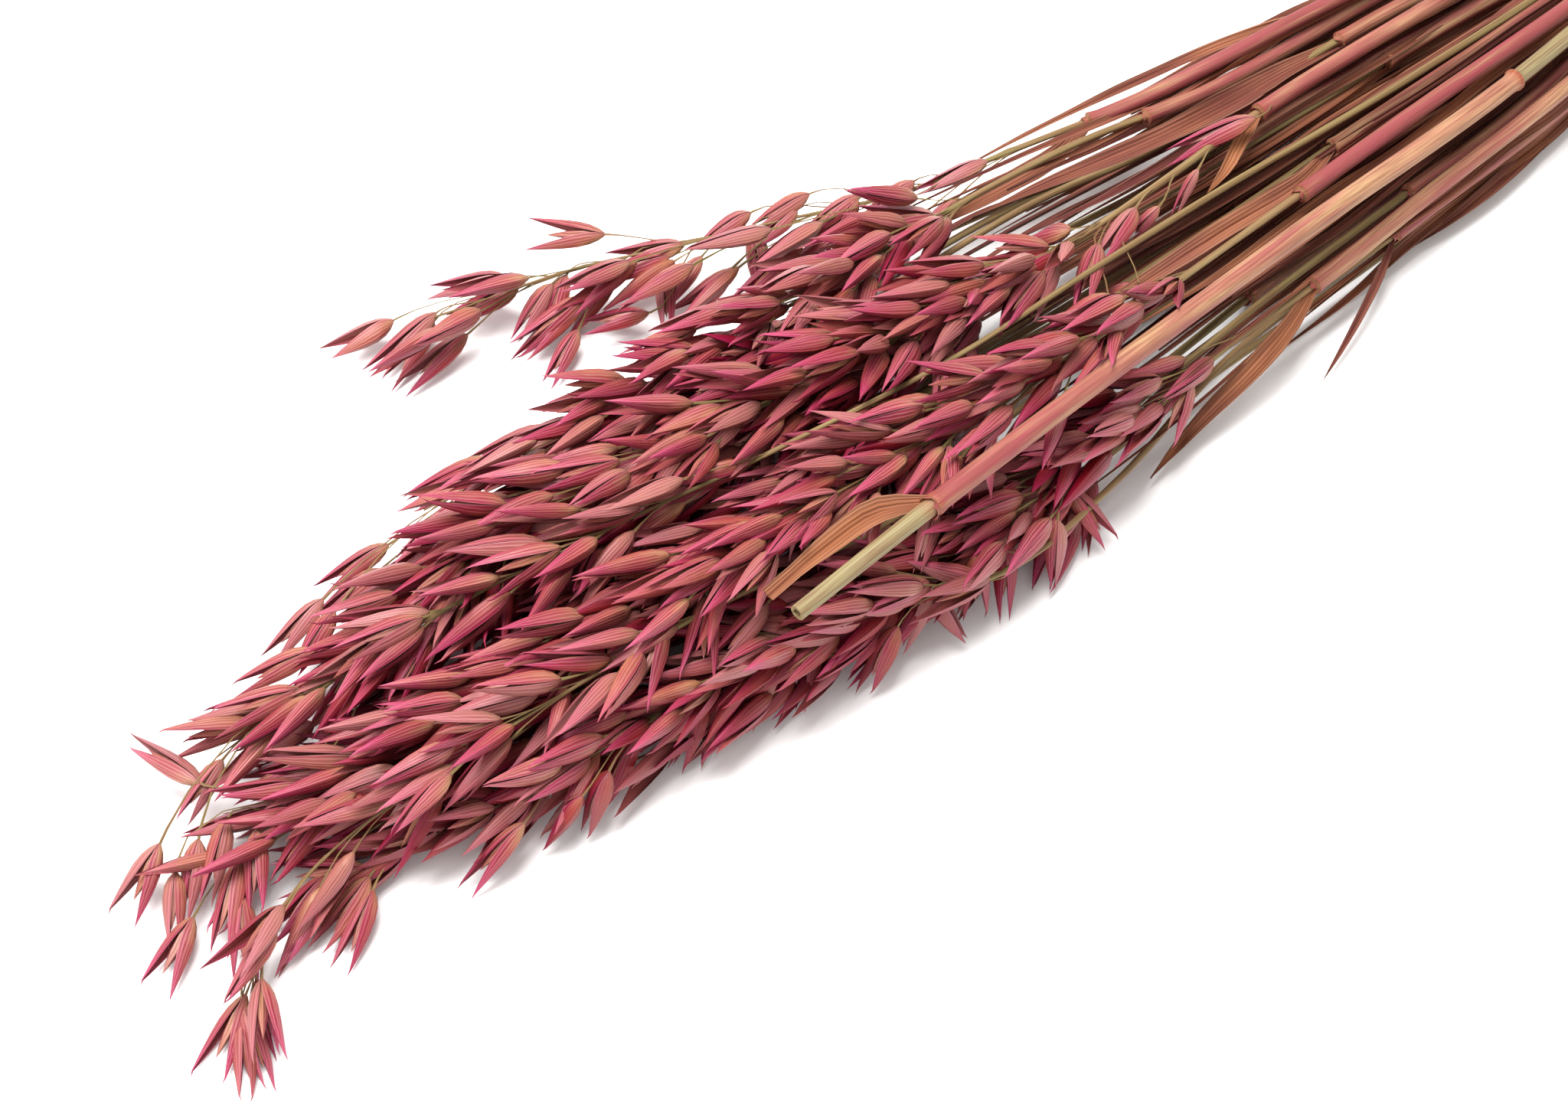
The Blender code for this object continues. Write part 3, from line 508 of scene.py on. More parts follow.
class Finish:
    """A plant finish in the making: a material that reads the grain's place and the four dye masks."""

    def __init__(self, name, roughness, gloss):
        self.material = bpy.data.materials.new(name)
        self.material.use_nodes = True
        self.shader = self.material.node_tree.nodes["Principled BSDF"].inputs
        self.shader["Roughness"].default_value = roughness
        self.shader["Specular IOR Level"].default_value = gloss
        self.place = self.node("ShaderNodeUVMap", uv_map="grain").outputs["UV"]
        dye = self.node("ShaderNodeAttribute", attribute_name="dye").outputs
        split = self.node("ShaderNodeSeparateColor", {"Color": dye["Color"]}).outputs
        self.masks = (*split, dye["Alpha"])

    def node(self, kind, inputs=None, **settings):
        """A node of this material."""
        return add_node(self.material.node_tree, kind, inputs, **settings)

    def parts(self):
        """The way across the grain and the way along it."""
        split = self.node("ShaderNodeSeparateXYZ", {"Vector": self.place}).outputs
        return split["X"], split["Y"]

    def fibres(self, place, width, length):
        """The fine and the coarse mask of fibres. The fourth dye mask is their seed."""
        inputs = {"Place": place, "Seed": self.masks[3], "Width": width, "Length": length}
        group = self.node("ShaderNodeGroup", inputs, node_tree=fibre_group)
        return group.outputs["Fibres"], group.outputs["Streaks"]

    def blotches(self, scale):
        """Soft blotches that run on over neighbouring pieces."""
        place = self.node("ShaderNodeTexCoord").outputs["Object"]
        inputs = {"Vector": place, "Scale": scale, "Detail": 3.0}
        return self.node("ShaderNodeTexNoise", inputs).outputs["Fac"]

    def reckon(self, operation, *values, clamp=False):
        """The result of one sum on sockets or numbers."""
        inputs = dict(enumerate(values))
        return self.node("ShaderNodeMath", inputs, operation=operation, use_clamp=clamp).outputs[0]

    def tune(self, value, factor, shift, clamp=False):
        """A value times a factor plus a shift."""
        return self.reckon("MULTIPLY_ADD", value, factor, shift, clamp=clamp)

    def wave(self, angle):
        """A sine wave that runs between 0 and 1."""
        return self.tune(self.reckon("SINE", angle), 0.5, 0.5)

    def blend(self, share, first, second):
        """The colour between two others by a share. Each is a socket, or red, green and blue up to 255."""
        first, second = (colour(*one) if isinstance(one, tuple) else one for one in (first, second))
        inputs = {"Factor": share, 6: first, 7: second}
        return self.node("ShaderNodeMix", inputs, data_type="RGBA", clamp_factor=True).outputs[2]

    def done(self, whole, height, strength, relief):
        """The material, with its colour and its relief in place."""
        bump = self.node("ShaderNodeBump", {"Height": height, "Strength": strength, "Distance": relief})
        self.material.node_tree.links.new(whole, self.shader["Base Color"])
        self.material.node_tree.links.new(bump.outputs["Normal"], self.shader["Normal"])
        return self.material


def make_straw_finish(name, olive, olive_streak):
    """Dyed straw: bare straw from olive to tan, a sheath from peach to purple-pink, streaked lengthwise."""
    straw = Finish(name, 0.55, 0.25)
    sheathed, pink, ring, _ = straw.masks
    across, _ = straw.parts()
    fibres, streaks = straw.fibres(straw.place, 0.34, 18.0)
    olive = straw.blend(streaks, olive, olive_streak)
    brown = straw.blend(streaks, (150, 130, 90), (124, 96, 62))
    bare = straw.blend(straw.tune(pink, 1.25, -0.15, clamp=True), olive, brown)
    peach = straw.blend(streaks, (172, 138, 100), (160, 106, 86))
    rose = straw.blend(fibres, (132, 54, 64), (156, 82, 80))
    share = straw.tune(straw.blotches(38.0), 1.2, straw.reckon("SUBTRACT", pink, 0.95))
    sheath = straw.blend(straw.tune(streaks, 0.85, share, clamp=True), peach, rose)
    seam = straw.reckon("MULTIPLY", straw.tune(across, -0.55, 0.85, clamp=True), 0.75)
    sheath = straw.blend(seam, sheath, (130, 46, 70))
    whole = straw.blend(sheathed, bare, sheath)
    # The ring mask is the red-brown of the node rings; at the bottom of a cut bore it is painted shade.
    whole = straw.blend(ring, whole, (148, 70, 46))
    whole = straw.blend(straw.tune(fibres, 0.8, -0.1), whole, (96, 46, 34))
    return straw.done(whole, straw.reckon("ADD", fibres, streaks), 0.5, 0.00012)


def stepped(keys, length):
    """Rows along a stem and their radii, in straight steps between keys of distance and radius."""
    along = np.unique(np.concatenate((keys[:, 0], np.arange(STEM_ROW, length - 2.0, STEM_ROW))))
    return along, np.interp(along, keys[:, 0], keys[:, 1])


def stem_rows(stalk, rng):
    """Distances along a stem, with its radius, its overlap and its masks at each.

    The radius runs in straight steps between the node, the sheath and the collar, and
    swells a little at random.
    """
    route, neck, thickness = stalk["route"], stalk["neck"], stalk["thickness"]
    node = route.distance_at_x(SHEATH_START_X + rng.uniform(*NODE_STAGGER))
    collar = route.distance_at_x(stalk["sheath_x"])
    end = neck + 0.8
    straw = np.interp((collar, end), (0.0, neck), (CULM_RADIUS, NECK_RADIUS)) * thickness
    sheath = SHEATH_RADIUS * thickness
    keys = np.array((
        (0.0, CULM_RADIUS), (node - 2.5, CULM_RADIUS), (node - 1.2, CULM_RADIUS + 0.3),
        (node, sheath + 0.55), (node + 1.4, sheath + 0.2), (node + 4.0, sheath),
        (collar - 3.0, sheath * 0.97), (collar - 1.0, sheath + 0.15), (collar, sheath + 0.3),
        (collar + 0.5, straw[0] + 0.25), (collar + 1.0, straw[0]), (end, straw[1]),
    ))
    along, radius = stepped(keys, end)
    radius *= 1.0 + SWELL * np.sin(along / SWELL_WAVE + 6.0 * rng.random())
    sheathed = ((along >= node) & (along <= collar)).astype(float)
    ring = np.exp(-((along - node) / 1.6) ** 2) + 0.3 * np.exp(-((along - collar) / 1.3) ** 2)
    pink = np.interp(along, (node, (node + collar) / 2, collar, end), (*stalk["tones"], 0.7))
    return along, radius, SHEATH_LAP * sheathed, (sheathed, pink, ring), collar, straw[0]


rng = np.random.default_rng(SEED)
detail_rng = np.random.default_rng(SEED + 1)
stalks = make_stalks(rng)
fibre_group = make_fibre_group()
straw_finish = make_straw_finish("dyed_straw", (134, 128, 78), (108, 94, 58))
stem_skins = {}
for name, stalk in stalks.items():
    stalk["tones"] = SHEATH_TONES.get(name) or tuple(detail_rng.uniform(0.1, 0.9, 3))
    along, radius, overlap, masks, collar, straw = stem_rows(stalk, detail_rng)
    stem_skins[name] = [
        (straw_skin(stalk["route"], along, radius, overlap, masks, detail_rng.random()), 0),
        (frill_skin(stalk["route"], collar, straw, FRILL_HEIGHT, detail_rng), 0),
    ]


# Leaf blades

# Long dry blades with parallel veins, brown to orange-tan, folded along the midrib and
# curled as they dried. Some grow from a collar that shows; more lie loose between the
# stems, held there by the bundle.

BLADE_THICKNESS = 0.35
BLADE_FOLD = 0.16  # depth of the fold along the midrib, as a share of the width
BLADE_ROW = 4.0
BLADE_ROLL = 0.04
MIDRIB = (0.3, 0.14)  # its height, and its half width as a share of the blade's
EDGE_WAVE = (0.07, 8.0)  # how high both edges wave, as a share of the width, and how soon
EDGE_CURL = (0.05, 4.7)  # the same for the waves of one edge alone
PLEATS = (0.03, 7.5, 30.0)  # the same for pleats, which shift along the blade
VEIN_SPACING = 0.85

# From the end of the sheath that each grows from: (width, route).
LEAVES = {
    "01": (8.0, ((285, -28, 5.5), (265, -34, 6), (240, -38.5, 7), (222, -39.5, 6.5), (205, -39, 5.5))),
    "06": (8.0, ((300, 25, 5.3), (280, 33, 8), (250, 40, 10), (215, 45, 9), (180, 50, 6), (150, 55, 4))),
    "11": (3.5, ((262, 26, 12.5), (245, 31, 17), (215, 39, 20), (180, 45.5, 20), (150, 51, 18),
                (125, 57, 13))),
    "12": (8.0, ((205, -7, 20), (188, -13, 25), (156, -15, 30), (125, -16.5, 33.5), (100, -17, 36))),
    "14": (9.0, ((235, 20, 19), (215, 20, 23), (190, 19, 27), (160, 20, 31), (130, 24, 34), (102, 27, 37))),
    "15": (7.0, ((158, 41, 23), (146, 40, 19), (128, 43, 15), (108, 47, 12.5), (92, 50, 11))),
    "17": (4.5, ((191, 9, 31), (181, 5, 31.5), (171, 1, 28), (164, 0, 25))),
    "21": (6.0, ((166, -40, 22), (156, -43.5, 19), (140, -46, 14), (120, -47.5, 9), (98, -51, 5))),
    "22": (2.6, ((201, -37, 14), (190, -43, 11), (178, -48, 7), (167, -52, 3.8), (158, -55, 1.6))),
    "cut": (7.0, ((23, -48, 57), (10, -41.5, 57.5), (-5, -40.5, 55.5), (-24, -41, 52))),
}
# Widths of curled leaves, as a share of the flat width.
LEAF_CURLED = {"01": 0.6, "06": 0.55, "14": 0.8, "12": 0.8}
# How orange and how mauve a leaf is. Any other leaf draws both, up to the limits under them.
LEAF_TONES = {"cut": (0.95, 0.1), "17": (0.95, 0.1), "21": (0.7, 0.2), "15": (0.45, 0.3), "22": (0.1, 0.6)}
LEAF_TONES_UP_TO = (0.35, 0.6)
LOOSE_TONES_UP_TO = (0.6, 0.8)

# Loose blades: (layer, lane, x where it starts, x where it ends, width, roll in turns).
LOOSE_BLADES = (
    (0.5, -2.0, 335, 120, 5.0, 0.12), (0.5, -1.0, 330, 90, 5.0, -0.18), (0.5, 0.0, 340, 60, 5.6, 0.15),
    (0.5, 1.0, 332, 100, 5.0, -0.12), (0.5, 2.0, 338, 130, 5.0, 0.20), (1.5, -2.4, 330, 110, 4.4, -0.20),
    (1.5, -1.5, 336, 70, 5.0, 0.15), (1.5, -0.5, 330, 85, 4.6, -0.18), (1.5, 0.5, 338, 95, 5.0, 0.14),
    (1.5, 1.5, 330, 75, 4.6, -0.16), (1.5, 2.2, 334, 125, 4.4, 0.22), (2.4, -1.4, 328, 110, 4.0, 0.20),
    (2.4, -0.2, 330, 60, 4.4, -0.16), (2.4, 1.0, 326, 105, 4.4, 0.18), (2.3, 2.1, 330, 120, 4.0, -0.22),
    (0.2, -2.7, 320, 150, 4.4, 0.12), (0.9, 2.6, 325, 140, 4.4, -0.12), (1.8, -2.7, 318, 170, 4.4, 0.15),
)
# More of them, narrow and curled, are drawn between these two.
FINE_BLADES = 64
FINE_BLADES_FROM = (0.1, -2.7, 312, 60, 1.8, -0.4)
FINE_BLADES_TO = (2.4, 2.4, 340, 175, 4.4, 0.4)
BLADE_STATIONS = 7
DRIFT = 1.5  # how far a loose blade strays from its lane


def blade_skin(line, width, roll, tones, rng, blunt=0.0):
    """A long pointed strip with a folded midrib.

    Its half width grows over a third of its length and then falls to a point, or to a torn
    blunt end. Across it, the edges stand above the midrib by the fold, and wave, and
    shallow pleats run lengthwise. The section rolls round the route as it goes, by the
    given part of a full turn.
    """
    along = np.linspace(0.0, line.length, max(9, round(line.length / BLADE_ROW)))
    share = (along / line.length)[:, None]
    pointed = np.interp(share, (0.0, 0.3, 0.6, 0.85, 1.0), (0.5, 1.0, 0.85, 0.45, 0.04))
    half = 0.5 * width * np.maximum(pointed, blunt * (share > 0.5))
    over = np.concatenate((np.linspace(1.0, -1.0, 11), np.linspace(-0.8, 0.8, 7)))
    face = np.concatenate((np.ones(11), -np.ones(7)))
    flat = np.sqrt(np.maximum(1.0 - over ** 2, 0.0))
    rib = MIDRIB[0] * np.exp(-(over / MIDRIB[1]) ** 2) * (face < 0)
    crease = np.sqrt(over ** 2 + 0.02)
    far = along[:, None]
    wave = EDGE_WAVE[0] * np.sin(far / EDGE_WAVE[1] + 6.0 * rng.random()) * over * np.abs(over)
    wave += EDGE_CURL[0] * np.sin(far / EDGE_CURL[1] + 6.0 * rng.random()) * np.maximum(over, 0.0) ** 3
    wave += PLEATS[0] * np.sin(PLEATS[1] * over + far / PLEATS[2] + 6.0 * rng.random())
    across = half * over
    rise = 2 * half * (BLADE_FOLD * (2 * crease - 1) + wave)
    rise = rise + face * (0.5 * BLADE_THICKNESS * flat + rib)
    angle = 2 * math.pi * roll * np.sin(math.pi * (share + 0.15 * rng.random()))
    angle = angle + 0.25 * share * (rng.random() - 0.5)
    turned = across * np.cos(angle) - rise * np.sin(angle), across * np.sin(angle) + rise * np.cos(angle)
    rings = carry(line.at(along), line.tangent(along), *turned)
    uv = grid_uv(0.5 * width * np.append(over, 1.0) * np.interp(share, (0.0, 1.0), (1.0, 0.6)), along)
    edge = np.abs(over) ** 4 * np.ones_like(share)
    return close_skin(rings[None], uv, stack_dye(edge.shape, *tones, edge, rng.random())[None])


def make_leaf_finish():
    """Dry leaf: brown, orange-tan or mauve by its masks, with parallel veins, paler at the edges."""
    leaf = Finish("dry_leaf", 0.62, 0.18)
    orange, mauve, edge, seed = leaf.masks
    across, _ = leaf.parts()
    fibres, streaks = leaf.fibres(leaf.place, 0.42, 30.0)
    veins = leaf.reckon("MULTIPLY", across, 2 * math.pi / VEIN_SPACING)
    veins = leaf.wave(leaf.tune(fibres, 3.4, veins))
    blotch = leaf.blotches(30.0)
    brown = leaf.blend(streaks, (152, 98, 76), (92, 42, 32))
    tan = leaf.blend(streaks, (174, 112, 72), (140, 84, 52))
    share = leaf.tune(blotch, 1.2, leaf.reckon("SUBTRACT", orange, 0.6), clamp=True)
    whole = leaf.blend(share, brown, tan)
    share = leaf.tune(blotch, -1.2, leaf.reckon("ADD", mauve, 0.5), clamp=True)
    whole = leaf.blend(share, whole, (102, 44, 50))
    whole = leaf.blend(leaf.tune(seed, 0.8, -0.3, clamp=True), whole, (80, 38, 28))
    whole = leaf.blend(leaf.reckon("MULTIPLY", edge, 0.35), whole, (150, 116, 94))
    whole = leaf.blend(leaf.reckon("MULTIPLY", veins, 0.5), whole, (68, 32, 24))
    return leaf.done(whole, leaf.tune(veins, -1.0, fibres), 0.8, 0.0002)


leaf_finish = make_leaf_finish()
for name in stalks:
    if name in LEAVES:
        width, route = LEAVES[name]
        tones = LEAF_TONES.get(name) or detail_rng.uniform(0.0, LEAF_TONES_UP_TO)
        width *= LEAF_CURLED.get(name, 1.0)
        stem_skins[name].append((blade_skin(Route(route), width, BLADE_ROLL, tones, detail_rng), 1))
    piece = make_piece("dressed_stem_" + name, stem_skins[name], (straw_finish, leaf_finish))
    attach(piece, "root")
    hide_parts("stem_" + name)

loose_skins = []
fine_blades = detail_rng.uniform(FINE_BLADES_FROM, FINE_BLADES_TO, (FINE_BLADES, len(FINE_BLADES_TO)))
for layer, lane, start_x, end_x, width, roll in (*LOOSE_BLADES, *fine_blades):
    stations = np.linspace(start_x, end_x, BLADE_STATIONS)
    drift = detail_rng.uniform(-DRIFT, DRIFT, (BLADE_STATIONS, 2))
    points = np.array([lane_point(x, layer, lane) for x in stations])
    line = Route(points + np.column_stack((np.zeros(BLADE_STATIONS), drift[:, 0], 0.4 * drift[:, 1])))
    tones = detail_rng.uniform(0.0, LOOSE_TONES_UP_TO)
    loose_skins.append((blade_skin(line, width, roll, tones, detail_rng), 0))
loose_blades = make_piece("loose_blades", loose_skins, (leaf_finish,))
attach(loose_blades, "root")


# Seed heads

# A thin rachis that tapers out, with pedicels as fine as thread, each with a spikelet: two
# papery ribbed husks round a small floret. The husks took the dye unevenly: tan where they
# grow from the pedicel, rose over the belly, magenta at the tips.

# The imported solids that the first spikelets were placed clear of, and how they are sampled.
SOLID_NECK_RADIUS = 1.15
RACHIS_RADIUS = 1.05
RACHIS_TIP_RADIUS = 0.55
RACHIS_STEP = 19.0
STEM_STEP = 70.0
STEP_CLEAR = 7.0  # even stations keep this far from a step in a stem's outline
END_CLEAR = 8.0
BLADE_STEP = 16.0
SOLID_BLADE = 0.7
PEDICEL_RADIUS = 0.45
SPHERE_STEP = 1.5
NEAR = 42.0  # two spheres further apart than this can't touch
NOBODY = -1
GAP = 0.3
FLOOR_PRESS = 1.0

SPIKELET_LENGTH = 24.0
SPIKELET_WIDTH = 6.2
SPIKELET_DEPTH = 4.8
BELLY_AT = 0.38
SPIKELETS_PER_HEAD = 14
GOLDEN_SHARE = 0.618
TRIES = 24
# How far the pedicels of some heads hold their spikelets off the rachis, and which side of a
# head that hangs out of the heap its spikelets grow on.
PEDICEL_REACH = {"04": 5.0, "15": 17.0, "18": 7.0, "20": 9.0}
HANG = {"15": (0.0, -1.0, -0.3)}

STRAY = 0.05  # how far a spikelet strays along its rachis, as a share of the head's length
FIRST_AT = 5.0  # how far past the neck the spikelets start
LOOSE_FIRST_AT = -8.0
LOOSE_STAND_OFF = (2.0, 12.0)  # how far a loose one stands off the rachis
PEDICEL_LIFT = 0.7  # the angle between the rachis and a pedicel, in radians
DOWN = -0.3  # a loose one that points further down than this is turned over
NEAR_SIDE = -0.4  # one that points further to the near side than this leans out more
SIZE = 0.92  # the smallest spikelet, as a share of the usual one
LOOSE_SIZE = 0.9
SIZE_RANGE = 0.16

# How far a spikelet leans off the rachis: the least, and what a draw adds, in degrees.
TIP_LEAN = (4, 8)
SIDE_LEAN = (14, 14)
LOOSE_LEAN = (6, 26)
NEAR_SIDE_LEAN = (12, 38)
# How wide its husks open: what a draw adds, and what is taken off first, in degrees.
OPENING = (17, 4)
LOOSE_OPENING = (20, 6)

CUT_STALK_LANE = (3, -2.0)
CUT_STALK_RADIUS = 2.3
CUT_STALK_RING_X = 251
CUT_STALK_COLLAR_X = 23
CUT_STALK_ROUTE = (
    (276, -26, 32), (251, -29, 34), (161, -36, 44), (81, -43, 52), (23, -48, 56), (-24, -52, 57),
)

FILL_ROUNDS = 60  # more spikelets for each head, in the room that is left
FILL_TRIES = 11
FILL_PRESS = 0.8  # how far dry husks press into each other
TIPWARD = 0.8  # below 1, a loose one's place is drawn towards the tip
PICKED_PRESS = 3.2
PICKED_TILT = 0.12  # how far from level a picked spikelet opens
PICKED_LENGTHS = (14.0, 26.0)
PICKED_WIDTHS = (0.46, 0.52)  # half its width, as a share of the usual width
PICKED_SLIM = 20.0  # one that is shorter than this is slimmer too
PICKED_OPENING = 1.2
# Others cover a spikelet if they lie this far above its middle, and no further to a side.
# The more others cover it, the more painted shade its husks get.
COVER_MIDDLE = 0.4  # a share of its length
COVER_RISE = 2.0
COVER_REACH = 9.0
FULL_COVER = 4.0  # so many others cover it fully
SPARSE = {"15": 4, "18": 12, "20": 10}  # heads that stand out from the rest and stay open

# How far the heap of heads reaches to either side: at each station along X, the nearest and
# farthest Y.
HEAP_X = (-162, -148, -126, -60, -12, 16, 68, 120, 160)
HEAP_NEAR = (14, -10, -29, -47, -56, -60, -63, -49, -44)
HEAP_FAR = (14, 26, 33, 45, 50, 50, 46, 43, 42)
HEAP_EDGE = 9.0  # how far inside the near side a spikelet starts
HANG_FAR = 120.0  # the farthest Y for a spikelet of a head that stands out there

# Spikelets that stand out from the heap, picked one by one in the photo. Another script worked
# the picks out in millimetres, through a camera like this one: (base, tip, opening in degrees).
PICKED_SPIKELETS = {
    "17": (
        ((184, 4, 38), (161, 15, 30), 2), ((160, 1, 37), (152, 0, 29), 2),
        ((143, -2, 37), (134, -1, 29), 3), ((137, 1, 38), (117, -7, 36), 3),
        ((121, -2, 38), (102, -14, 38), 4), ((121, -17, 34), (120, -4, 18), 3),
        ((112, -15, 33), (110, -3, 17), 3), ((106, 6, 36), (100, 19, 21), 3),
        ((112, 4, 37), (108, 9, 17), 3), ((118, 6, 39), (113, 20, 24), 3),
    ),
    "15": (
        ((33, 99, 16), (17, 114, 14), 12), ((5, 107, 12), (-13, 119, 8), 2),
        ((-26, 117, 8), (-46, 121, 4), 10), ((-16, 111, 9), (-40, 109, 4), 3),
        ((-13, 101, 7), (-36, 100, 3), 5), ((-17, 111, 6), (-38, 103, 2), 4),
        ((6, 103, 10), (-14, 109, 6), 4), ((13, 97, 12), (-4, 94, 5), 3), ((18, 97, 12), (3, 89, 5), 5),
        ((19, 90, 9), (-8, 87, 3), 6), ((11, 83, 7), (-5, 77, 2), 4), ((48, 83, 15), (29, 93, 12), 4),
        ((43, 83, 14), (22, 92, 11), 6), ((39, 79, 12), (19, 86, 8), 6), ((40, 82, 12), (30, 68, 4), 3),
        ((29, 75, 8), (13, 85, 6), 9), ((50, 78, 13), (34, 75, 6), 2), ((54, 70, 12), (36, 69, 5), 9),
        ((66, 75, 15), (57, 60, 5), 3), ((68, 79, 17), (50, 82, 13), 3), ((83, 72, 20), (65, 77, 15), 3),
        ((78, 71, 18), (62, 71, 13), 5), ((93, 63, 20), (75, 66, 15), 3), ((92, 62, 20), (76, 61, 11), 5),
        ((107, 56, 22), (89, 58, 16), 3),
    ),
    "18": (
        ((-151, 25, 14), (-156, 49, 10), 1), ((-168, 18, 12), (-185, 10, 4), 10),
        ((-160, 13, 12), (-174, 0, 5), 3), ((-107, 38, 16), (-128, 44, 11), 5),
        ((-116, 30, 16), (-139, 41, 11), 5), ((-128, 30, 14), (-148, 38, 11), 3),
        ((-143, 27, 14), (-160, 22, 10), 3), ((-127, 12, 15), (-145, 20, 11), 8),
        ((-120, 20, 16), (-133, 29, 4), 4), ((-126, 11, 15), (-145, 6, 10), 4),
    ),
    "09": (
        ((-169, 10, 10), (-181, -4, 4), 3), ((-152, 12, 14), (-167, -1, 8), 3),
        ((-148, 5, 14), (-161, -11, 8), 3),
    ),
    "04": (
        ((-172, -1, 6), (-191, -10, 2), 10), ((-160, -5, 8), (-172, -22, 3), 6),
        ((-155, 3, 10), (-175, -13, 5), 4),
    ),
    "20": (
        ((-174, -26, 5), (-194, -37, 1), 9), ((-170, -25, 6), (-177, -43, 2), 2),
        ((-176, -28, 5), (-183, -49, 1), 2), ((-178, -30, 4), (-188, -48, 1), 2),
    ),
    "02": (
        ((-141, -13, 8), (-162, -18, 3), 5), ((-142, -15, 7), (-161, -24, 3), 3),
        ((-133, -20, 8), (-153, -27, 3), 5), ((-134, -23, 7), (-152, -35, 2), 5),
    ),
    "19": (
        ((-29, -23, 36), (-44, -40, 32), 10), ((-42, -23, 36), (-61, -33, 30), 9),
        ((-17, -32, 32), (-39, -38, 32), 3),
    ),
    "21": (
        ((61, -48, 24), (48, -48, 6), 9), ((71, -48, 20), (75, -61, 6), 5),
        ((61, -54, 22), (55, -60, 3), 2), ((48, -49, 20), (40, -58, 2), 3),
        ((35, -36, 30), (19, -47, 28), 3),
    ),
    "22": (
        ((37, -50, 24), (33, -55, 5), 7), ((22, -50, 19), (27, -59, 3), 3),
        ((9, -52, 20), (-3, -53, 2), 3), ((21, -50, 22), (13, -50, 4), 3),
        ((-6, -39, 19), (-19, -47, 2), 4), ((-20, -39, 20), (-32, -42, 2), 6),
        ((-41, -37, 18), (-54, -42, 2), 4), ((-61, -34, 16), (-77, -38, 2), 5),
        ((-73, -39, 19), (-83, -40, 2), 4), ((-82, -40, 18), (-93, -36, 2), 4),
        ((-97, -36, 16), (-115, -34, 2), 4),
    ),
    "16": (
        ((-75, 50, 20), (-95, 54, 14), 4), ((-81, 45, 20), (-101, 46, 14), 4),
        ((-97, 48, 18), (-117, 46, 12), 3), ((-97, 43, 18), (-115, 38, 12), 3),
        ((-43, 51, 24), (-62, 58, 18), 4), ((-40, 53, 24), (-63, 60, 18), 4),
        ((-23, 50, 26), (-43, 58, 20), 4),
    ),
}


def inner_stations(steps, length):
    """Even stations along a stem, without those that lie near a step in its outline."""
    inner = np.arange(STEM_STEP, length - END_CLEAR, STEM_STEP)
    return inner[np.abs(inner[:, None] - np.array(steps)[None]).min(axis=1) > STEP_CLEAR]


def stem_profile(stalk):
    """The solid stem's distances and radii: bare straw that thins evenly, and the thicker sheath."""
    route, neck = stalk["route"], stalk["neck"]
    start = route.distance_at_x(SHEATH_START_X)
    end = route.distance_at_x(stalk["sheath_x"])
    steps = [0.0, start, start + 1.5, end, end + 1.0, neck - GAP / 2]
    along = np.sort(np.concatenate((steps, inner_stations(steps, neck))))
    bare = np.interp(along, (0.0, neck), (CULM_RADIUS, SOLID_NECK_RADIUS))
    sheathed = (along > start + 1.0) & (along < end + 0.5)
    radius = np.where(sheathed, SHEATH_RADIUS, bare) * stalk["thickness"]
    return along, np.where(along <= start, CULM_RADIUS, radius)


def rachis_profile(stalk):
    """The solid rachis's distances and radii: it thins evenly from the neck to the tip."""
    route, neck = stalk["route"], stalk["neck"]
    count = max(4, round((route.length - neck) / RACHIS_STEP))
    along = np.linspace(neck + GAP / 2, route.length, count)
    share = (along - neck) / (route.length - neck)
    return along, RACHIS_RADIUS + (RACHIS_TIP_RADIUS - RACHIS_RADIUS) * share


def cut_stalk_profile(route):
    """The solid headless stalk's distances and radii: straw, a raised node ring, its sheath, straw again."""
    ring = route.distance_at_x(CUT_STALK_RING_X)
    collar = route.distance_at_x(CUT_STALK_COLLAR_X)
    straw, sheath = CUT_STALK_RADIUS, CUT_STALK_RADIUS + 0.55
    keys = np.array((
        (0.0, straw), (ring - 1.5, straw), (ring, sheath + 0.4), (ring + 1.5, sheath),
        (collar, sheath - 0.1), (collar + 1.0, straw - 0.1), (route.length, straw - 0.2),
    ))
    along = np.sort(np.concatenate((keys[:, 0], inner_stations(keys[:, 0], route.length))))
    return along, np.interp(along, keys[:, 0], keys[:, 1])


def read_polyline(points, at, wanted):
    """Points of a polyline at the wanted distances."""
    return np.stack([np.interp(wanted, at, points[:, axis]) for axis in range(3)], axis=1)


def sample_spheres(points, radii, step):
    """Spheres along a polyline, close enough together to stand for a tube round it."""
    points, radii = np.asarray(points, float), np.broadcast_to(radii, len(points))
    at = distances(points)
    wanted = np.linspace(0.0, at[-1], max(2, math.ceil(at[-1] / step) + 1))
    return read_polyline(points, at, wanted), np.interp(wanted, at, radii)


def blade_spheres(width, route):
    """Spheres along lines that run the length of a blade, side by side."""
    line = Route(route)
    along = np.linspace(0.0, line.length, max(4, math.ceil(line.length / BLADE_STEP) + 1))
    pointed = np.interp(along / line.length, (0.0, 0.3, 0.6, 1.0), (0.5, 1.0, 0.85, 0.12))
    half = 0.5 * width * pointed[:, None]
    ahead = line.tangent(along)
    side = np.cross(ahead, (0.0, 0.0, 1.0))
    side /= np.linalg.norm(side, axis=1, keepdims=True)
    fold = np.cross(side, ahead) * BLADE_FOLD * 2 * half
    middle = line.at(along)
    left, middle, right = middle - side * half + fold, middle - fold, middle + side * half + fold
    lines = (left, (left + middle) / 2, middle, (middle + right) / 2, right)
    pairs = [sample_spheres(line, max(SOLID_BLADE, width / 8), SPHERE_STEP) for line in lines]
    return np.concatenate([centres for centres, _ in pairs]), np.concatenate([radii for _, radii in pairs])


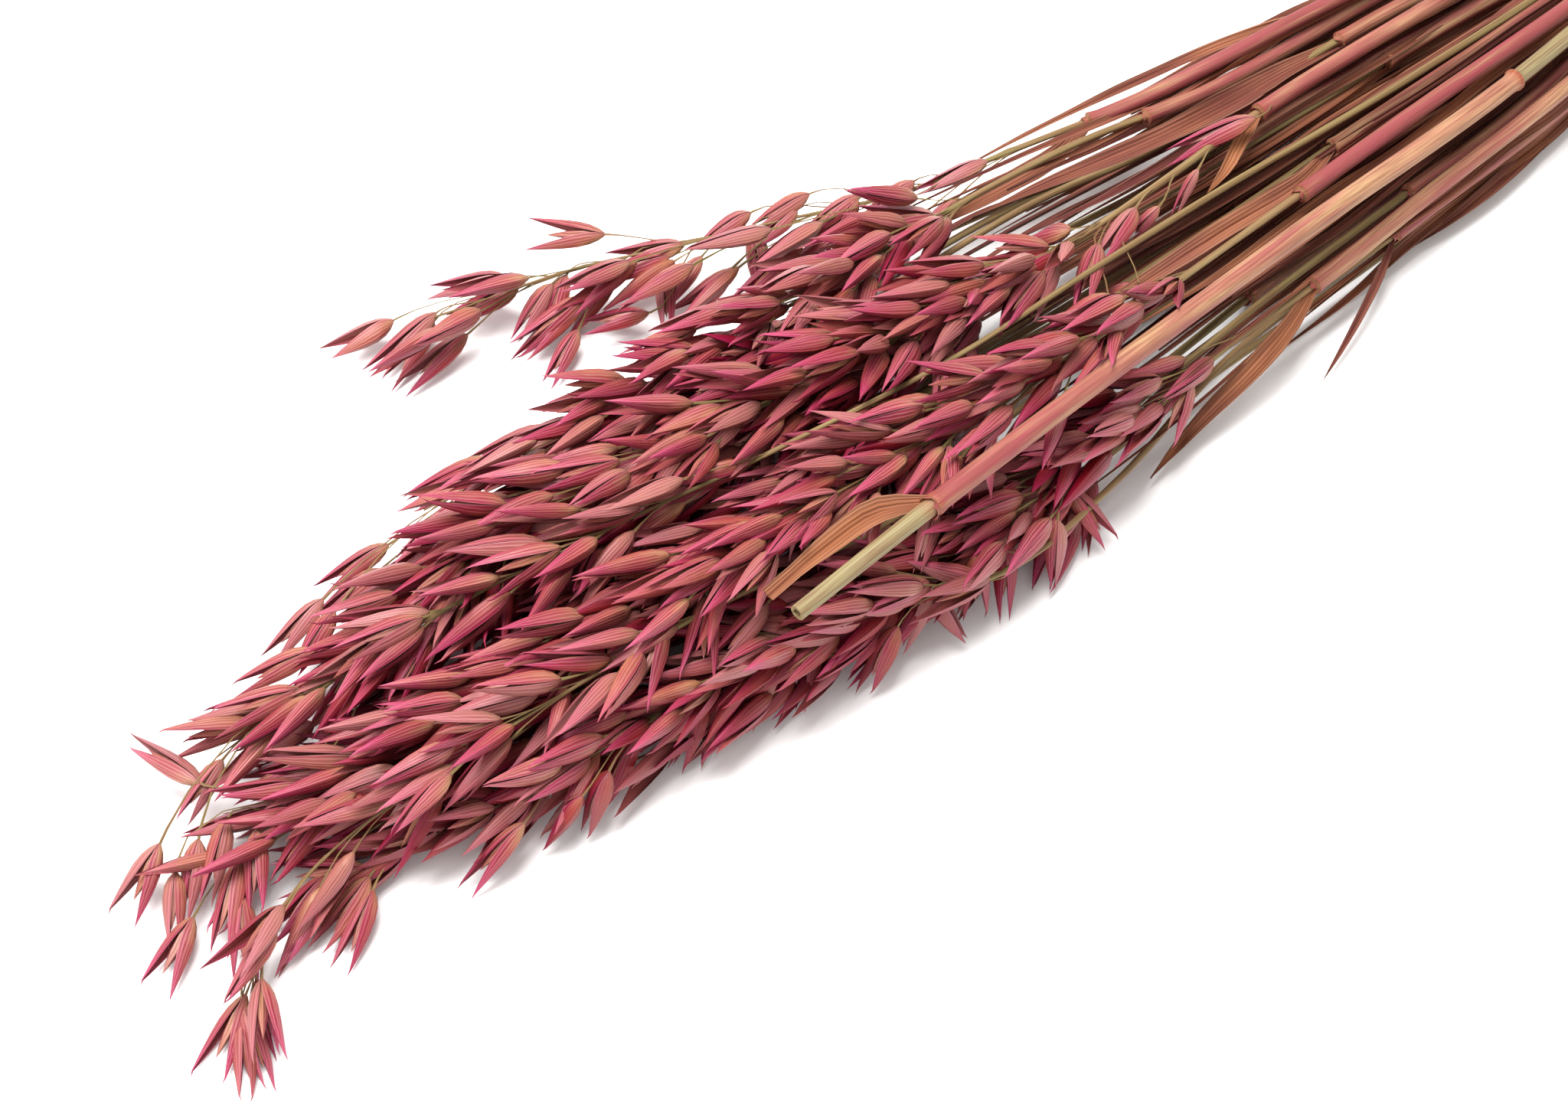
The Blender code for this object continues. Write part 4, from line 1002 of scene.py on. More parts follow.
def spikelet_spheres(spikelet):
    """Spheres inside a spikelet's two husks, and along its pedicel outside the rachis."""
    base, along, across = spikelet["base"], spikelet["along"], spikelet["across"]
    length, half = spikelet["length"], spikelet["half_width"]
    share = np.linspace(0.08, 1.0, 11)[:, None]
    part = np.clip((share - BELLY_AT) / (1 - BELLY_AT), 0.0, 1.0)
    reach = np.sin(spikelet["spread"]) * length
    offset = part * reach + (1 - part) * 0.35 * half * np.clip(share / BELLY_AT, 0.0, 1.0)
    radius = half * np.where(share < BELLY_AT, 0.15 + 0.53 * share / BELLY_AT, 0.08 + 0.6 * (1 - part))
    middle = base + along * (share * length)
    centres = np.concatenate((middle + across * offset, middle - across * offset))
    radii = np.tile(radius[:, 0], 2)
    stand_off = np.linalg.norm(base - spikelet["root"])
    if stand_off > 3.0:
        pedicel = np.stack((spikelet["root"], base))
        more, more_radii = sample_spheres(pedicel, PEDICEL_RADIUS, SPHERE_STEP)
        clear = np.linalg.norm(more - spikelet["root"], axis=1) > 2.5
        centres = np.concatenate((centres, more[clear]))
        radii = np.concatenate((radii, more_radii[clear]))
    return centres, radii


class Room:
    """Spheres that stand for what is there: their centres, sizes and owner, and if kin keep off them."""

    def __init__(self):
        self.centres = np.empty((0, 3))
        self.radii = np.empty(0)
        self.owners = np.empty(0, int)
        self.firm = np.empty(0, bool)

    def add(self, centres, radii, owner, firm):
        """Takes in new spheres of one owner."""
        count = len(centres)
        self.centres = np.concatenate((self.centres, centres))
        self.radii = np.concatenate((self.radii, radii))
        self.owners = np.concatenate((self.owners, np.full(count, owner)))
        self.firm = np.concatenate((self.firm, np.broadcast_to(firm, count)))

    def rooms(self, centres, radii):
        """Which spheres are near new ones, and the space between each pair."""
        near = np.linalg.norm(self.centres - centres.mean(axis=0), axis=1) < NEAR
        rooms = np.linalg.norm(self.centres[near][:, None] - centres[None], axis=2)
        return near, rooms - (self.radii[near][:, None] + radii[None])

    def has_space(self, centres, radii, owner, firm):
        """Whether new spheres keep the gap to other nodes, and their firm ones touch no firm kin."""
        if (centres[:, 2] - radii).min() < -FLOOR_PRESS:
            return False
        near, rooms = self.rooms(centres, radii)
        own = self.owners[near] == owner
        kin = rooms[own & self.firm[near]][:, firm]
        return rooms[~own].min(initial=1.0) >= GAP and kin.min(initial=1.0) >= 0.0

    def has_pressed_space(self, centres, radii, press):
        """Whether new spheres press into nothing, the ground too, by more than a dry husk gives."""
        if (centres[:, 2] - radii).min() < -press:
            return False
        return self.rooms(centres, radii)[1].min(initial=1.0) >= -press


def fill_room(stalks, cut_route):
    """The stems, rachises and leaf blades, which the spikelets then keep clear of."""
    room = Room()
    for owner, stalk in enumerate(stalks.values()):
        for (along, radius), who in ((stem_profile(stalk), NOBODY), (rachis_profile(stalk), owner)):
            room.add(*sample_spheres(stalk["route"].at(along), radius, SPHERE_STEP), who, False)
    along, radius = cut_stalk_profile(cut_route)
    room.add(*sample_spheres(cut_route.at(along), radius, SPHERE_STEP), NOBODY, False)
    for width, route in LEAVES.values():
        room.add(*blade_spheres(width, route), NOBODY, False)
    return room


def draw_spikelet(name, stalk, share, terminal, rng, loose=False):
    """One candidate spikelet on a stalk's rachis, leaning outwards and towards the tip.

    A loose one, of those that fill a head, leans further, stands off on a longer pedicel
    and looks up or sideways.
    """
    route, neck = stalk["route"], stalk["neck"]
    reach = PEDICEL_REACH.get(name, 0.0)
    jitter, turn, lean, spread, roll, size, off = rng.random(7)
    step = STRAY * (route.length - neck)
    distance = neck + share * (route.length - neck) + step * (jitter - 0.5)
    first = neck + (LOOSE_FIRST_AT if loose else FIRST_AT)
    distance = min(max(distance, first), route.length - 1.0)
    ahead = route.tangent(distance)[0]
    side = np.cross(ahead, (0.0, 0.0, 1.0))
    side /= np.linalg.norm(side)
    rise = np.cross(side, ahead)
    angle = 2 * math.pi * turn
    outward = math.cos(angle) * side + math.sin(angle) * rise
    if name in HANG and outward @ HANG[name] < 0 or loose and name not in HANG and outward[2] < DOWN:
        outward = -outward
    least, more = TIP_LEAN if terminal else SIDE_LEAN
    if loose:
        least, more = NEAR_SIDE_LEAN if outward[1] < NEAR_SIDE else LOOSE_LEAN
    tilt = math.radians(least + more * lean)
    along = math.cos(tilt) * ahead + math.sin(tilt) * outward
    twist = math.pi * roll
    across = math.cos(twist) * np.cross(along, outward) + math.sin(twist) * outward
    across -= along * (across @ along)
    across /= np.linalg.norm(across)
    root = route.at(distance)[0]
    stand_off = 0.0 if terminal else reach * (0.3 + 0.7 * off)
    if loose:
        stand_off = LOOSE_STAND_OFF[0] + max(reach, LOOSE_STAND_OFF[1]) * off ** 1.5
    lift = math.cos(PEDICEL_LIFT) * ahead + math.sin(PEDICEL_LIFT) * outward
    scale = (LOOSE_SIZE if loose else SIZE) + SIZE_RANGE * size
    wide, less = LOOSE_OPENING if loose else OPENING
    return {
        "root": root, "base": root + lift * stand_off, "along": along, "across": across,
        "length": SPIKELET_LENGTH * scale, "half_width": SPIKELET_WIDTH * scale / 2,
        "spread": math.radians(max(0.0, wide * spread - less)), "distance": distance,
    }


def place_spikelets(stalks, room, rng):
    """Spikelets for every head in turn, each clear of the other nodes, the ground and its kin."""
    placed = {name: [] for name in stalks}
    for index in range(SPIKELETS_PER_HEAD):
        share = 0.04 + 0.94 * (index * GOLDEN_SHARE % 1.0)
        for owner, (name, stalk) in enumerate(stalks.items()):
            for _ in range(TRIES):
                spikelet = draw_spikelet(name, stalk, share, index == 0, rng)
                centres, radii = spikelet_spheres(spikelet)
                outer = (centres - spikelet["base"]) @ spikelet["along"] > 0.4 * spikelet["length"]
                if room.has_space(centres, radii, owner, outer):
                    room.add(centres, radii, owner, outer)
                    placed[name].append(spikelet)
                    break
    return placed


def press_in(spikelet, owner, found, room, press):
    """Adds a spikelet to a head if it presses into nothing by more than this. Its pedicel may touch."""
    centres, radii = spikelet_spheres({**spikelet, "root": spikelet["base"]})
    fits = room.has_pressed_space(centres, radii, press)
    if fits:
        room.add(centres, radii, owner, True)
        found.append(spikelet)
    return fits


def set_picked(stalks, placed, room, rng):
    """The picked spikelets, wherever one doesn't stand in another. They open level with the ground."""
    for owner, (name, stalk) in enumerate(stalks.items()):
        route = stalk["route"]
        for base, tip, opening in PICKED_SPIKELETS.get(name, ()):
            base, tip = np.array(base, float), np.array(tip, float)
            length = np.linalg.norm(tip - base)
            along = (tip - base) / length
            across = np.cross(along, (PICKED_TILT * rng.normal(), PICKED_TILT * rng.normal(), 1.0))
            distance = min(route.distance_at_x(base[0]), route.length - 1.0)
            width = SPIKELET_WIDTH * rng.uniform(*PICKED_WIDTHS) * min(length / PICKED_SLIM, 1.0)
            press_in({
                "root": route.at(distance)[0], "base": base, "along": along,
                "across": across / np.linalg.norm(across), "length": np.clip(length, *PICKED_LENGTHS),
                "half_width": width, "spread": math.radians(opening * PICKED_OPENING),
                "distance": distance,
            }, owner, placed[name], room, PICKED_PRESS)


def keeps_in(name, spikelet):
    """Whether a spikelet keeps within the heap's two sides, or within reach where a head hangs out."""
    centres, _ = spikelet_spheres({**spikelet, "root": spikelet["base"]})
    if name in HANG:
        return centres[:, 1].max() <= HANG_FAR
    near, far = np.interp(centres[:, 0], HEAP_X, HEAP_NEAR), np.interp(centres[:, 0], HEAP_X, HEAP_FAR)
    start = np.interp(spikelet["base"][0], HEAP_X, HEAP_NEAR) + HEAP_EDGE
    return ((centres[:, 1] > near) & (centres[:, 1] < far)).all() and spikelet["base"][1] > start


def fill_heads(stalks, placed, room, rng):
    """More spikelets in the room that is left, head by head, pressed lightly into their neighbours."""
    for index in range(FILL_ROUNDS):
        for owner, (name, stalk) in enumerate(stalks.items()):
            if index >= SPARSE.get(name, FILL_ROUNDS):
                continue
            for _ in range(FILL_TRIES):
                spikelet = draw_spikelet(name, stalk, rng.random() ** TIPWARD, False, rng, loose=True)
                if keeps_in(name, spikelet) and press_in(spikelet, owner, placed[name], room, FILL_PRESS):
                    break


def gather(spikelets, key):
    """One measure of every spikelet, as an array."""
    return np.array([spikelet[key] for spikelet in spikelets], float)


def note_cover(placed):
    """How far down in the heap each spikelet lies: the number of others above its middle, as a share
    of a full cover. It sets how much painted shade its husks get.
    """
    spikelets = [spikelet for found in placed.values() for spikelet in found]
    middles = gather(spikelets, "base")
    middles = middles + gather(spikelets, "along") * COVER_MIDDLE * gather(spikelets, "length")[:, None]
    apart = middles[:, None] - middles[None]
    beside = np.hypot(apart[..., 0], apart[..., 1])
    above = (apart[..., 2] < -COVER_RISE) & (beside < COVER_REACH)
    for spikelet, count in zip(spikelets, above.sum(axis=1)):
        spikelet["cover"] = min(count / FULL_COVER, 1.0)


HUSK_ROWS = np.array((0.03, 0.1, 0.2, 0.34, 0.5, 0.66, 0.81, 0.93))
HUSK_OUTSIDE = np.radians((-90, -45, 0, 45, 90))  # round the section
HUSK_INSIDE = np.radians((45, -45))
HUSK_UV_ACROSS = (0.0, 0.25, 0.5, 0.75, 1.0, 0.7, 0.3, 0.0)
HUSK_TURN = 0.85  # how far a husk turns out, as a share of the spread


def husk_width(share):
    """A husk's width along its length, as a share of the widest: a quick swell, then a fall to a point."""
    return (1 - np.exp(-share / 0.15)) * (1 - share ** 1.5) / 0.74


def husk_skins(spikelets, rng):
    """Both husks of every spikelet, as thin boats.

    A husk's section is a half ellipse that is closed by a shallower arc inside it. Its
    width follows husk_width. Its middle line bends away from the spikelet's own line by
    the spread, and both bow a little to one side. A dark raspberry mask is partly each
    husk's own dye and partly painted shade: stronger where a husk faces down and where
    others cover it.
    """
    count = len(spikelets)

    def twice(key):
        return np.repeat(gather(spikelets, key), 2, axis=0)

    half, spread, cover = twice("half_width")[:, None, None], twice("spread")[:, None], twice("cover")
    along, base, length = twice("along"), twice("base"), twice("length")[:, None]
    sign = np.tile((1.0, -1.0), count)[:, None]
    outward = twice("across") * sign
    lateral = np.cross(outward, along)
    draws = rng.random((2 * count, 6))
    length = length * (0.97 + 0.11 * draws[:, :1])
    bow = np.repeat(rng.uniform(-0.08, 0.08, (count, 2)), 2, axis=0)

    rows = HUSK_ROWS[None]
    open_share = np.clip((rows - 0.12) / 0.88, 0.0, 1.0) ** 1.2
    turned = HUSK_TURN * spread + np.radians(3.0) * (draws[:, 1:2] - 0.3)
    off = np.sin(turned) * length * open_share + 0.06
    bend = bow[:, :1] * length * rows ** 2
    bend_out = bow[:, 1:] * sign * length * rows ** 2
    middle = (
        base[:, None] + along[:, None] * (length * (rows - 0.02) * np.cos(spread))[..., None]
        + outward[:, None] * (off + bend_out)[..., None] + lateral[:, None] * bend[..., None]
    )
    width = husk_width(HUSK_ROWS)[None, :, None]
    outer = half * (1.0 + 0.12 * (draws[:, 2:3, None] - 0.5)) * width
    inner = np.maximum(outer - (0.13 + 0.1 * width) / 0.8, 0.1 * outer)
    depth = SPIKELET_DEPTH / SPIKELET_WIDTH
    across = np.concatenate((outer * np.cos(HUSK_OUTSIDE), inner * np.cos(HUSK_INSIDE)), axis=2)
    rise = np.concatenate((
        depth * outer * np.sin(HUSK_OUTSIDE), 0.8 * depth * outer * np.sin(HUSK_INSIDE)), axis=2)
    rings = lay_out(middle, outward[:, None], lateral[:, None], across, rise)
    reach = np.sin(HUSK_TURN * spread) * length + 0.06 + bow[:, 1:] * sign * length
    tip = base + along * (length * np.cos(spread)) + outward * reach + lateral * (bow[:, :1] * length)

    tan, deep_dye_and_shade = np.repeat(rng.random((count, 2)), 2, axis=0).T[:, :, None, None]
    arc = np.concatenate((HUSK_OUTSIDE, HUSK_INSIDE))
    upward = outward[:, 2:] * np.cos(arc) + lateral[:, 2:] * np.sin(arc)
    # Painted shade: the random raspberry dye grows stronger where a husk faces down and where others cover
    # it.
    deep_dye_and_shade = 0.5 * deep_dye_and_shade + 0.25 * (0.4 - upward)[:, None] + 0.65 * cover[:, None, None]
    inside = np.repeat((0.0, 1.0), (len(HUSK_OUTSIDE), len(HUSK_INSIDE)))
    dye = stack_dye(rings.shape[:3], tan, np.clip(deep_dye_and_shade, 0.0, 1.0), inside, draws[:, 3][:, None, None])
    return close_skin(rings, grid_uv(HUSK_UV_ACROSS, HUSK_ROWS), dye, base - along * 0.4, tip)


def floret_skins(spikelets, rng):
    """A slim spindle inside each pair of husks: circles that swell and taper along the spikelet's line."""
    rows = np.array((0.1, 0.25, 0.45, 0.62))
    size = np.array((0.3, 0.5, 0.42, 0.2))
    half = gather(spikelets, "half_width")[:, None, None] * size[None, :, None]
    along, across = gather(spikelets, "along"), gather(spikelets, "across")
    length = gather(spikelets, "length")[:, None]
    middle = gather(spikelets, "base")[:, None] + along[:, None] * (length * rows)[..., None]
    rings = lay_out(middle, across[:, None], np.cross(across, along)[:, None], *circle(half, 5))
    uv = grid_uv(np.linspace(0.0, 1.0, 6), 0.5 * rows)
    dye = stack_dye(rings.shape[:3], 0.9, 0.1, 0.0, rng.random(len(spikelets))[:, None, None])
    return close_skin(rings, uv, dye, end=gather(spikelets, "base") + along * length * 0.74)


def pedicel_skins(route, spikelets, neck, rng):
    """Threads from the rachis to the spikelets: each a cubic with its two ends and two guide points.

    It leaves the rachis some way behind the spikelet and nearly along it, and comes into
    the husks along their own line. It thickens just under them.
    """
    count = len(spikelets)
    base, along = gather(spikelets, "base"), gather(spikelets, "along")
    distance = gather(spikelets, "distance")
    stand_off = np.linalg.norm(base - gather(spikelets, "root"), axis=1)
    leave = distance - 6.0 - (8.0 + stand_off) * rng.uniform(0.6, 1.8, count)
    leave = np.maximum(leave, np.minimum(neck - 12.0, distance - 16.0))
    first = route.at(leave)
    span = np.linalg.norm(base - first, axis=1)[:, None]
    guides = first + route.tangent(leave) * 0.45 * span, base - along * 0.4 * span
    t = np.array((0.0, 0.2, 0.42, 0.64, 0.84, 0.95, 1.03))[None, :, None]
    line = (1 - t) ** 3 * first[:, None] + 3 * t * (1 - t) ** 2 * guides[0][:, None]
    line = line + 3 * t ** 2 * (1 - t) * guides[1][:, None]
    line = line + t ** 3 * (base + along)[:, None]
    ahead = np.gradient(line, axis=1)
    ahead /= np.linalg.norm(ahead, axis=2, keepdims=True)
    radius = np.array((0.34, 0.26, 0.22, 0.2, 0.24, 0.38, 0.45))[None, :, None]
    radius = radius * rng.uniform(0.85, 1.15, (count, 1, 1))
    rings = carry(line, ahead, *circle(radius, 4))
    tone, seed = rng.random((2, count))[..., None, None]
    dye = stack_dye(rings.shape[:3], 0.0, tone, 0.0, seed)
    return close_skin(rings, round_uv(np.linspace(0.0, 20.0, 7), 0.4, 4), dye)


KNUCKLE_STEP = 23.0
KNUCKLE_SWELL = 0.45


def rachis_skin(stalk, rng):
    """The rachis: a tapering thread of straw with small knuckles at a regular step along it."""
    route, neck = stalk["route"], stalk["neck"]
    start, end = neck - 1.5, route.length + 1.0
    along = np.linspace(start, end, max(12, round((end - start) / 3.5)))
    share = (along - start) / (end - start)
    radius = np.interp(share, (0.0, 0.25, 1.0), (0.85, 0.48, 0.24)) * min(stalk["thickness"], 1.0)
    knuckles = np.maximum(np.cos(2 * math.pi * (along / KNUCKLE_STEP + rng.random())), 0.0) ** 12
    radius *= 1.0 + KNUCKLE_SWELL * knuckles
    wobble = 0.35 * share * np.sin(along / 9.0 + 6.0 * rng.random())
    middle = route.at(np.minimum(along, route.length)) + wobble[:, None] * (0.0, 1.0, 0.3)
    ahead = route.tangent(along)
    middle[-1] += ahead[-1] * 1.0
    rings = carry(middle, ahead, *circle(radius[:, None], 7))
    pink = np.interp(share, (0, 1), (0.2, 0.8))[:, None]
    dye = stack_dye(rings.shape[:2], 0.0, pink, 0.0, rng.random())
    return close_skin(rings[None], round_uv(along, 0.9, 7), dye[None])


HUSK_COLOURS = (  # from the base to the tip
    (0.0, (154, 120, 76)), (0.12, (152, 98, 70)), (0.3, (140, 54, 52)), (0.55, (130, 28, 46)),
    (0.78, (156, 24, 76)), (1.0, (184, 54, 108)),
)
NERVES = 9


def make_husk_finish():
    """Dyed husk: tan to rose to magenta from base to tip, with raised nerves that run its length.

    The nerves are a wave across the husk. The colour along it is shifted by streaks, and
    each husk leans to tan by its own mask. It leans to dark raspberry by a mask that is
    partly its own dye and partly painted shade, where it faces down or lies under others;
    there its pale nerves fade, and elsewhere they are partly a painted highlight.
    """
    husk = Finish("dyed_husk", 0.42, 0.33)
    tan, deep_dye_and_shade, inside, seed = husk.masks
    across, along = husk.parts()
    spot = husk.node("ShaderNodeVectorMath", {0: husk.place, 1: (6.0, 24.0, 0.0)}, operation="MULTIPLY")
    fibres, streaks = husk.fibres(spot.outputs[0], 0.3, 14.0)
    nerves = husk.reckon("MULTIPLY", across, 2 * math.pi * NERVES)
    nerves = husk.wave(husk.tune(fibres, 1.5, nerves))
    share = husk.tune(streaks, 0.32, husk.reckon("SUBTRACT", along, 0.17))
    ramp = husk.node("ShaderNodeValToRGB", {"Fac": share})
    stops = ramp.color_ramp.elements
    stops[0].color, stops[1].color = colour(*HUSK_COLOURS[0][1]), colour(*HUSK_COLOURS[-1][1])
    for at, shade in HUSK_COLOURS[1:-1]:
        stops.new(at).color = colour(*shade)
    whole = ramp.outputs["Color"]
    share = husk.tune(husk.blotches(170.0), 1.1, husk.tune(tan, 1.1, -1.2), clamp=True)
    whole = husk.blend(share, whole, (156, 98, 58))
    # Towards dark raspberry: partly the husk's own dye, partly painted shade.
    whole = husk.blend(husk.tune(deep_dye_and_shade, 1.0, -0.2, clamp=True), whole, (120, 2, 20))
    rim = husk.reckon("ABSOLUTE", husk.tune(across, 2.0, -1.0))
    rim = husk.reckon("MULTIPLY", husk.reckon("POWER", rim, 3.0), 0.65)
    whole = husk.blend(rim, whole, (140, 26, 72))
    whole = husk.blend(husk.reckon("MULTIPLY", inside, 0.6), whole, (146, 72, 66))
    whole = husk.blend(husk.tune(seed, 1.3, -0.7, clamp=True), whole, (154, 102, 96))
    # Pale nerves, partly their own colour and partly a painted highlight: they show most on husks that face
    # up and lie uncovered.
    pale = husk.blend(0.5, whole, (178, 126, 122))
    dark = husk.blend(0.55, whole, (74, 4, 12))
    nerve_highlight_share = husk.tune(deep_dye_and_shade, -0.9, 0.85, clamp=True)
    whole = husk.blend(husk.reckon("MULTIPLY", nerves, nerve_highlight_share), whole, pale)
    between = husk.reckon("SUBTRACT", 1.0, nerves)
    lines = husk.reckon("MULTIPLY", between, husk.reckon("MULTIPLY", fibres, 0.8))
    whole = husk.blend(lines, whole, dark)
    return husk.done(whole, husk.tune(nerves, 1.0, fibres), 0.34, 0.00014)


cut_tied = [lane_point(x, *CUT_STALK_LANE) for x in (CUT_END_X, *LANE_STOPS[:2])]
cut_route = Route(cut_tied + list(CUT_STALK_ROUTE))
room = fill_room(stalks, cut_route)
placed = place_spikelets(stalks, room, rng)
set_picked(stalks, placed, room, rng)
fill_heads(stalks, placed, room, rng)
note_cover(placed)
husk_finish = make_husk_finish()
for name, stalk in stalks.items():
    skins = [
        (rachis_skin(stalk, detail_rng), 0),
        (pedicel_skins(stalk["route"], placed[name], stalk["neck"], detail_rng), 0),
        (husk_skins(placed[name], detail_rng), 1),
        (floret_skins(placed[name], detail_rng), 1),
    ]
    piece = make_piece("dressed_head_" + name, skins, (straw_finish, husk_finish))
    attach(piece, "root")
    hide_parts("head_" + name)


# The headless stalk

# The thickest straw lies on top and lost its head: it is cut square where it ends over
# the husks. An orange node ring carries its sheath, which turns pink towards the collar.

CUT_STALK_SIDES = 24
CUT_STALK_SWELL = 0.012
CUT_STALK_WAVE = 21.0
CUT_STALK_LAP = 0.1
CUT_STALK_SEED = 0.37
CUT_FRILL_HEIGHT = 3.0
CUT_FRILL_SIDES = 20
CUT_BLADE_ROLL = 0.05
CUT_BLADE_BLUNT = 0.55


def cut_stalk_rows(route):
    """Distances along the stalk, with its radius, its overlap and its masks at each.

    The radius runs in straight steps between the node ring and the collar.
    """
    ring = route.distance_at_x(CUT_STALK_RING_X)
    collar = route.distance_at_x(CUT_STALK_COLLAR_X)
    straw, sheath = CUT_STALK_RADIUS, CUT_STALK_RADIUS + 0.5
    keys = np.array((
        (0.0, straw), (ring - 2.6, straw), (ring - 1.6, straw + 0.15), (ring - 0.7, sheath + 0.45),
        (ring, sheath + 0.5), (ring + 0.8, sheath + 0.1), (ring + 2.5, sheath - 0.1),
        (ring + 9.0, sheath), (collar - 2.5, sheath), (collar - 1.0, sheath + 0.25),
        (collar, sheath + 0.3), (collar + 0.7, straw), (route.length, straw - 0.2),
    ))
    along, radius = stepped(keys, route.length)
    radius *= 1.0 + CUT_STALK_SWELL * np.sin(along / CUT_STALK_WAVE)
    sheathed = ((along > ring) & (along <= collar)).astype(float)
    rings = 0.95 * np.exp(-((along - ring) / 0.9) ** 2) + 0.5 * np.exp(-((along - collar) / 1.5) ** 2)
    places = (ring, ring + 60, collar - 110, collar, collar + 2)
    pink = np.interp(along, places, (-0.35, -0.1, 0.35, 0.85, 0.0))
    return along, radius, CUT_STALK_LAP * sheathed, (sheathed, pink, rings), collar


pale_finish = make_straw_finish("pale_straw", (144, 135, 98), (130, 118, 80))
along, radius, overlap, masks, collar = cut_stalk_rows(cut_route)
width, route = LEAVES["cut"]
tones = LEAF_TONES["cut"]
cut_stalk = make_piece("dressed_cut_stalk", [
    (straw_skin(cut_route, along, radius, overlap, masks, CUT_STALK_SEED, CUT_STALK_SIDES, (1, 1)), 0),
    (frill_skin(cut_route, collar, CUT_STALK_RADIUS, CUT_FRILL_HEIGHT, detail_rng, CUT_FRILL_SIDES), 0),
    (blade_skin(Route(route), width, CUT_BLADE_ROLL, tones, detail_rng, CUT_BLADE_BLUNT), 1),
], (pale_finish, leaf_finish))
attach(cut_stalk, "root")
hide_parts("cut_stalk")


# The tie

# Three turns of thin jute twine, laid from three strands, go round all the straws near
# their cut ends. They are knotted on top, and the two short tails are left to fray.

TIE_X = 400
TWINE_RADIUS = 1.3
TWINE_MIDDLE = 0.9
TIE_GAP = 0.75
TIE_TURNS = 3
TURN_PITCH = 2.2
STRANDS = 3
STRAND_SHARE = 0.56  # a strand's radius, as a share of the twine's
STRAND_SIDES = 7
LAY_LENGTH = 7.5  # how far the twine runs while its strands go round once
TWINE_ROW = 0.7
KNOT_RISE = 1.2
KNOT_SIZE = 0.95
KNOT_RADIUS = 0.8 * TWINE_RADIUS
TAIL = ((0, 0.0, 0.0), (-3, 3.0, 1.2), (-7, 5.5, 1.4), (-12, 7.0, 0.4))  # from the knot, on one side
TAIL_FRAY = 0.8
FRAY_LENGTH = 5.0


def tie_outline(routes):
    """The middle line of one turn: a taut loop round eight-sided rims that stand clear of each straw."""
    rims = []
    for route, straw in routes:
        _, y, z = route.at(route.distance_at_x(TIE_X))[0]
        reach = (straw + TIE_GAP + TWINE_RADIUS) / math.cos(math.pi / 8)
        for turn in (np.arange(8) + 0.5) * math.pi / 4:
            rims.append((y + reach * math.cos(turn), z + reach * math.sin(turn)))
    outline = []
    for index in geometry.convex_hull_2d(rims):
        y, z = rims[index][0], max(rims[index][1], TWINE_MIDDLE)
        if not outline or math.dist(outline[-1], (y, z)) > TWINE_RADIUS:
            outline.append((y, z))
    return outline


def even_points(points, step):
    """Points at an even step along a polyline."""
    points = np.asarray(points, float)
    at = distances(points)
    wanted = np.linspace(0.0, at[-1], max(4, round(at[-1] / step)))
    return read_polyline(points, at, wanted), wanted


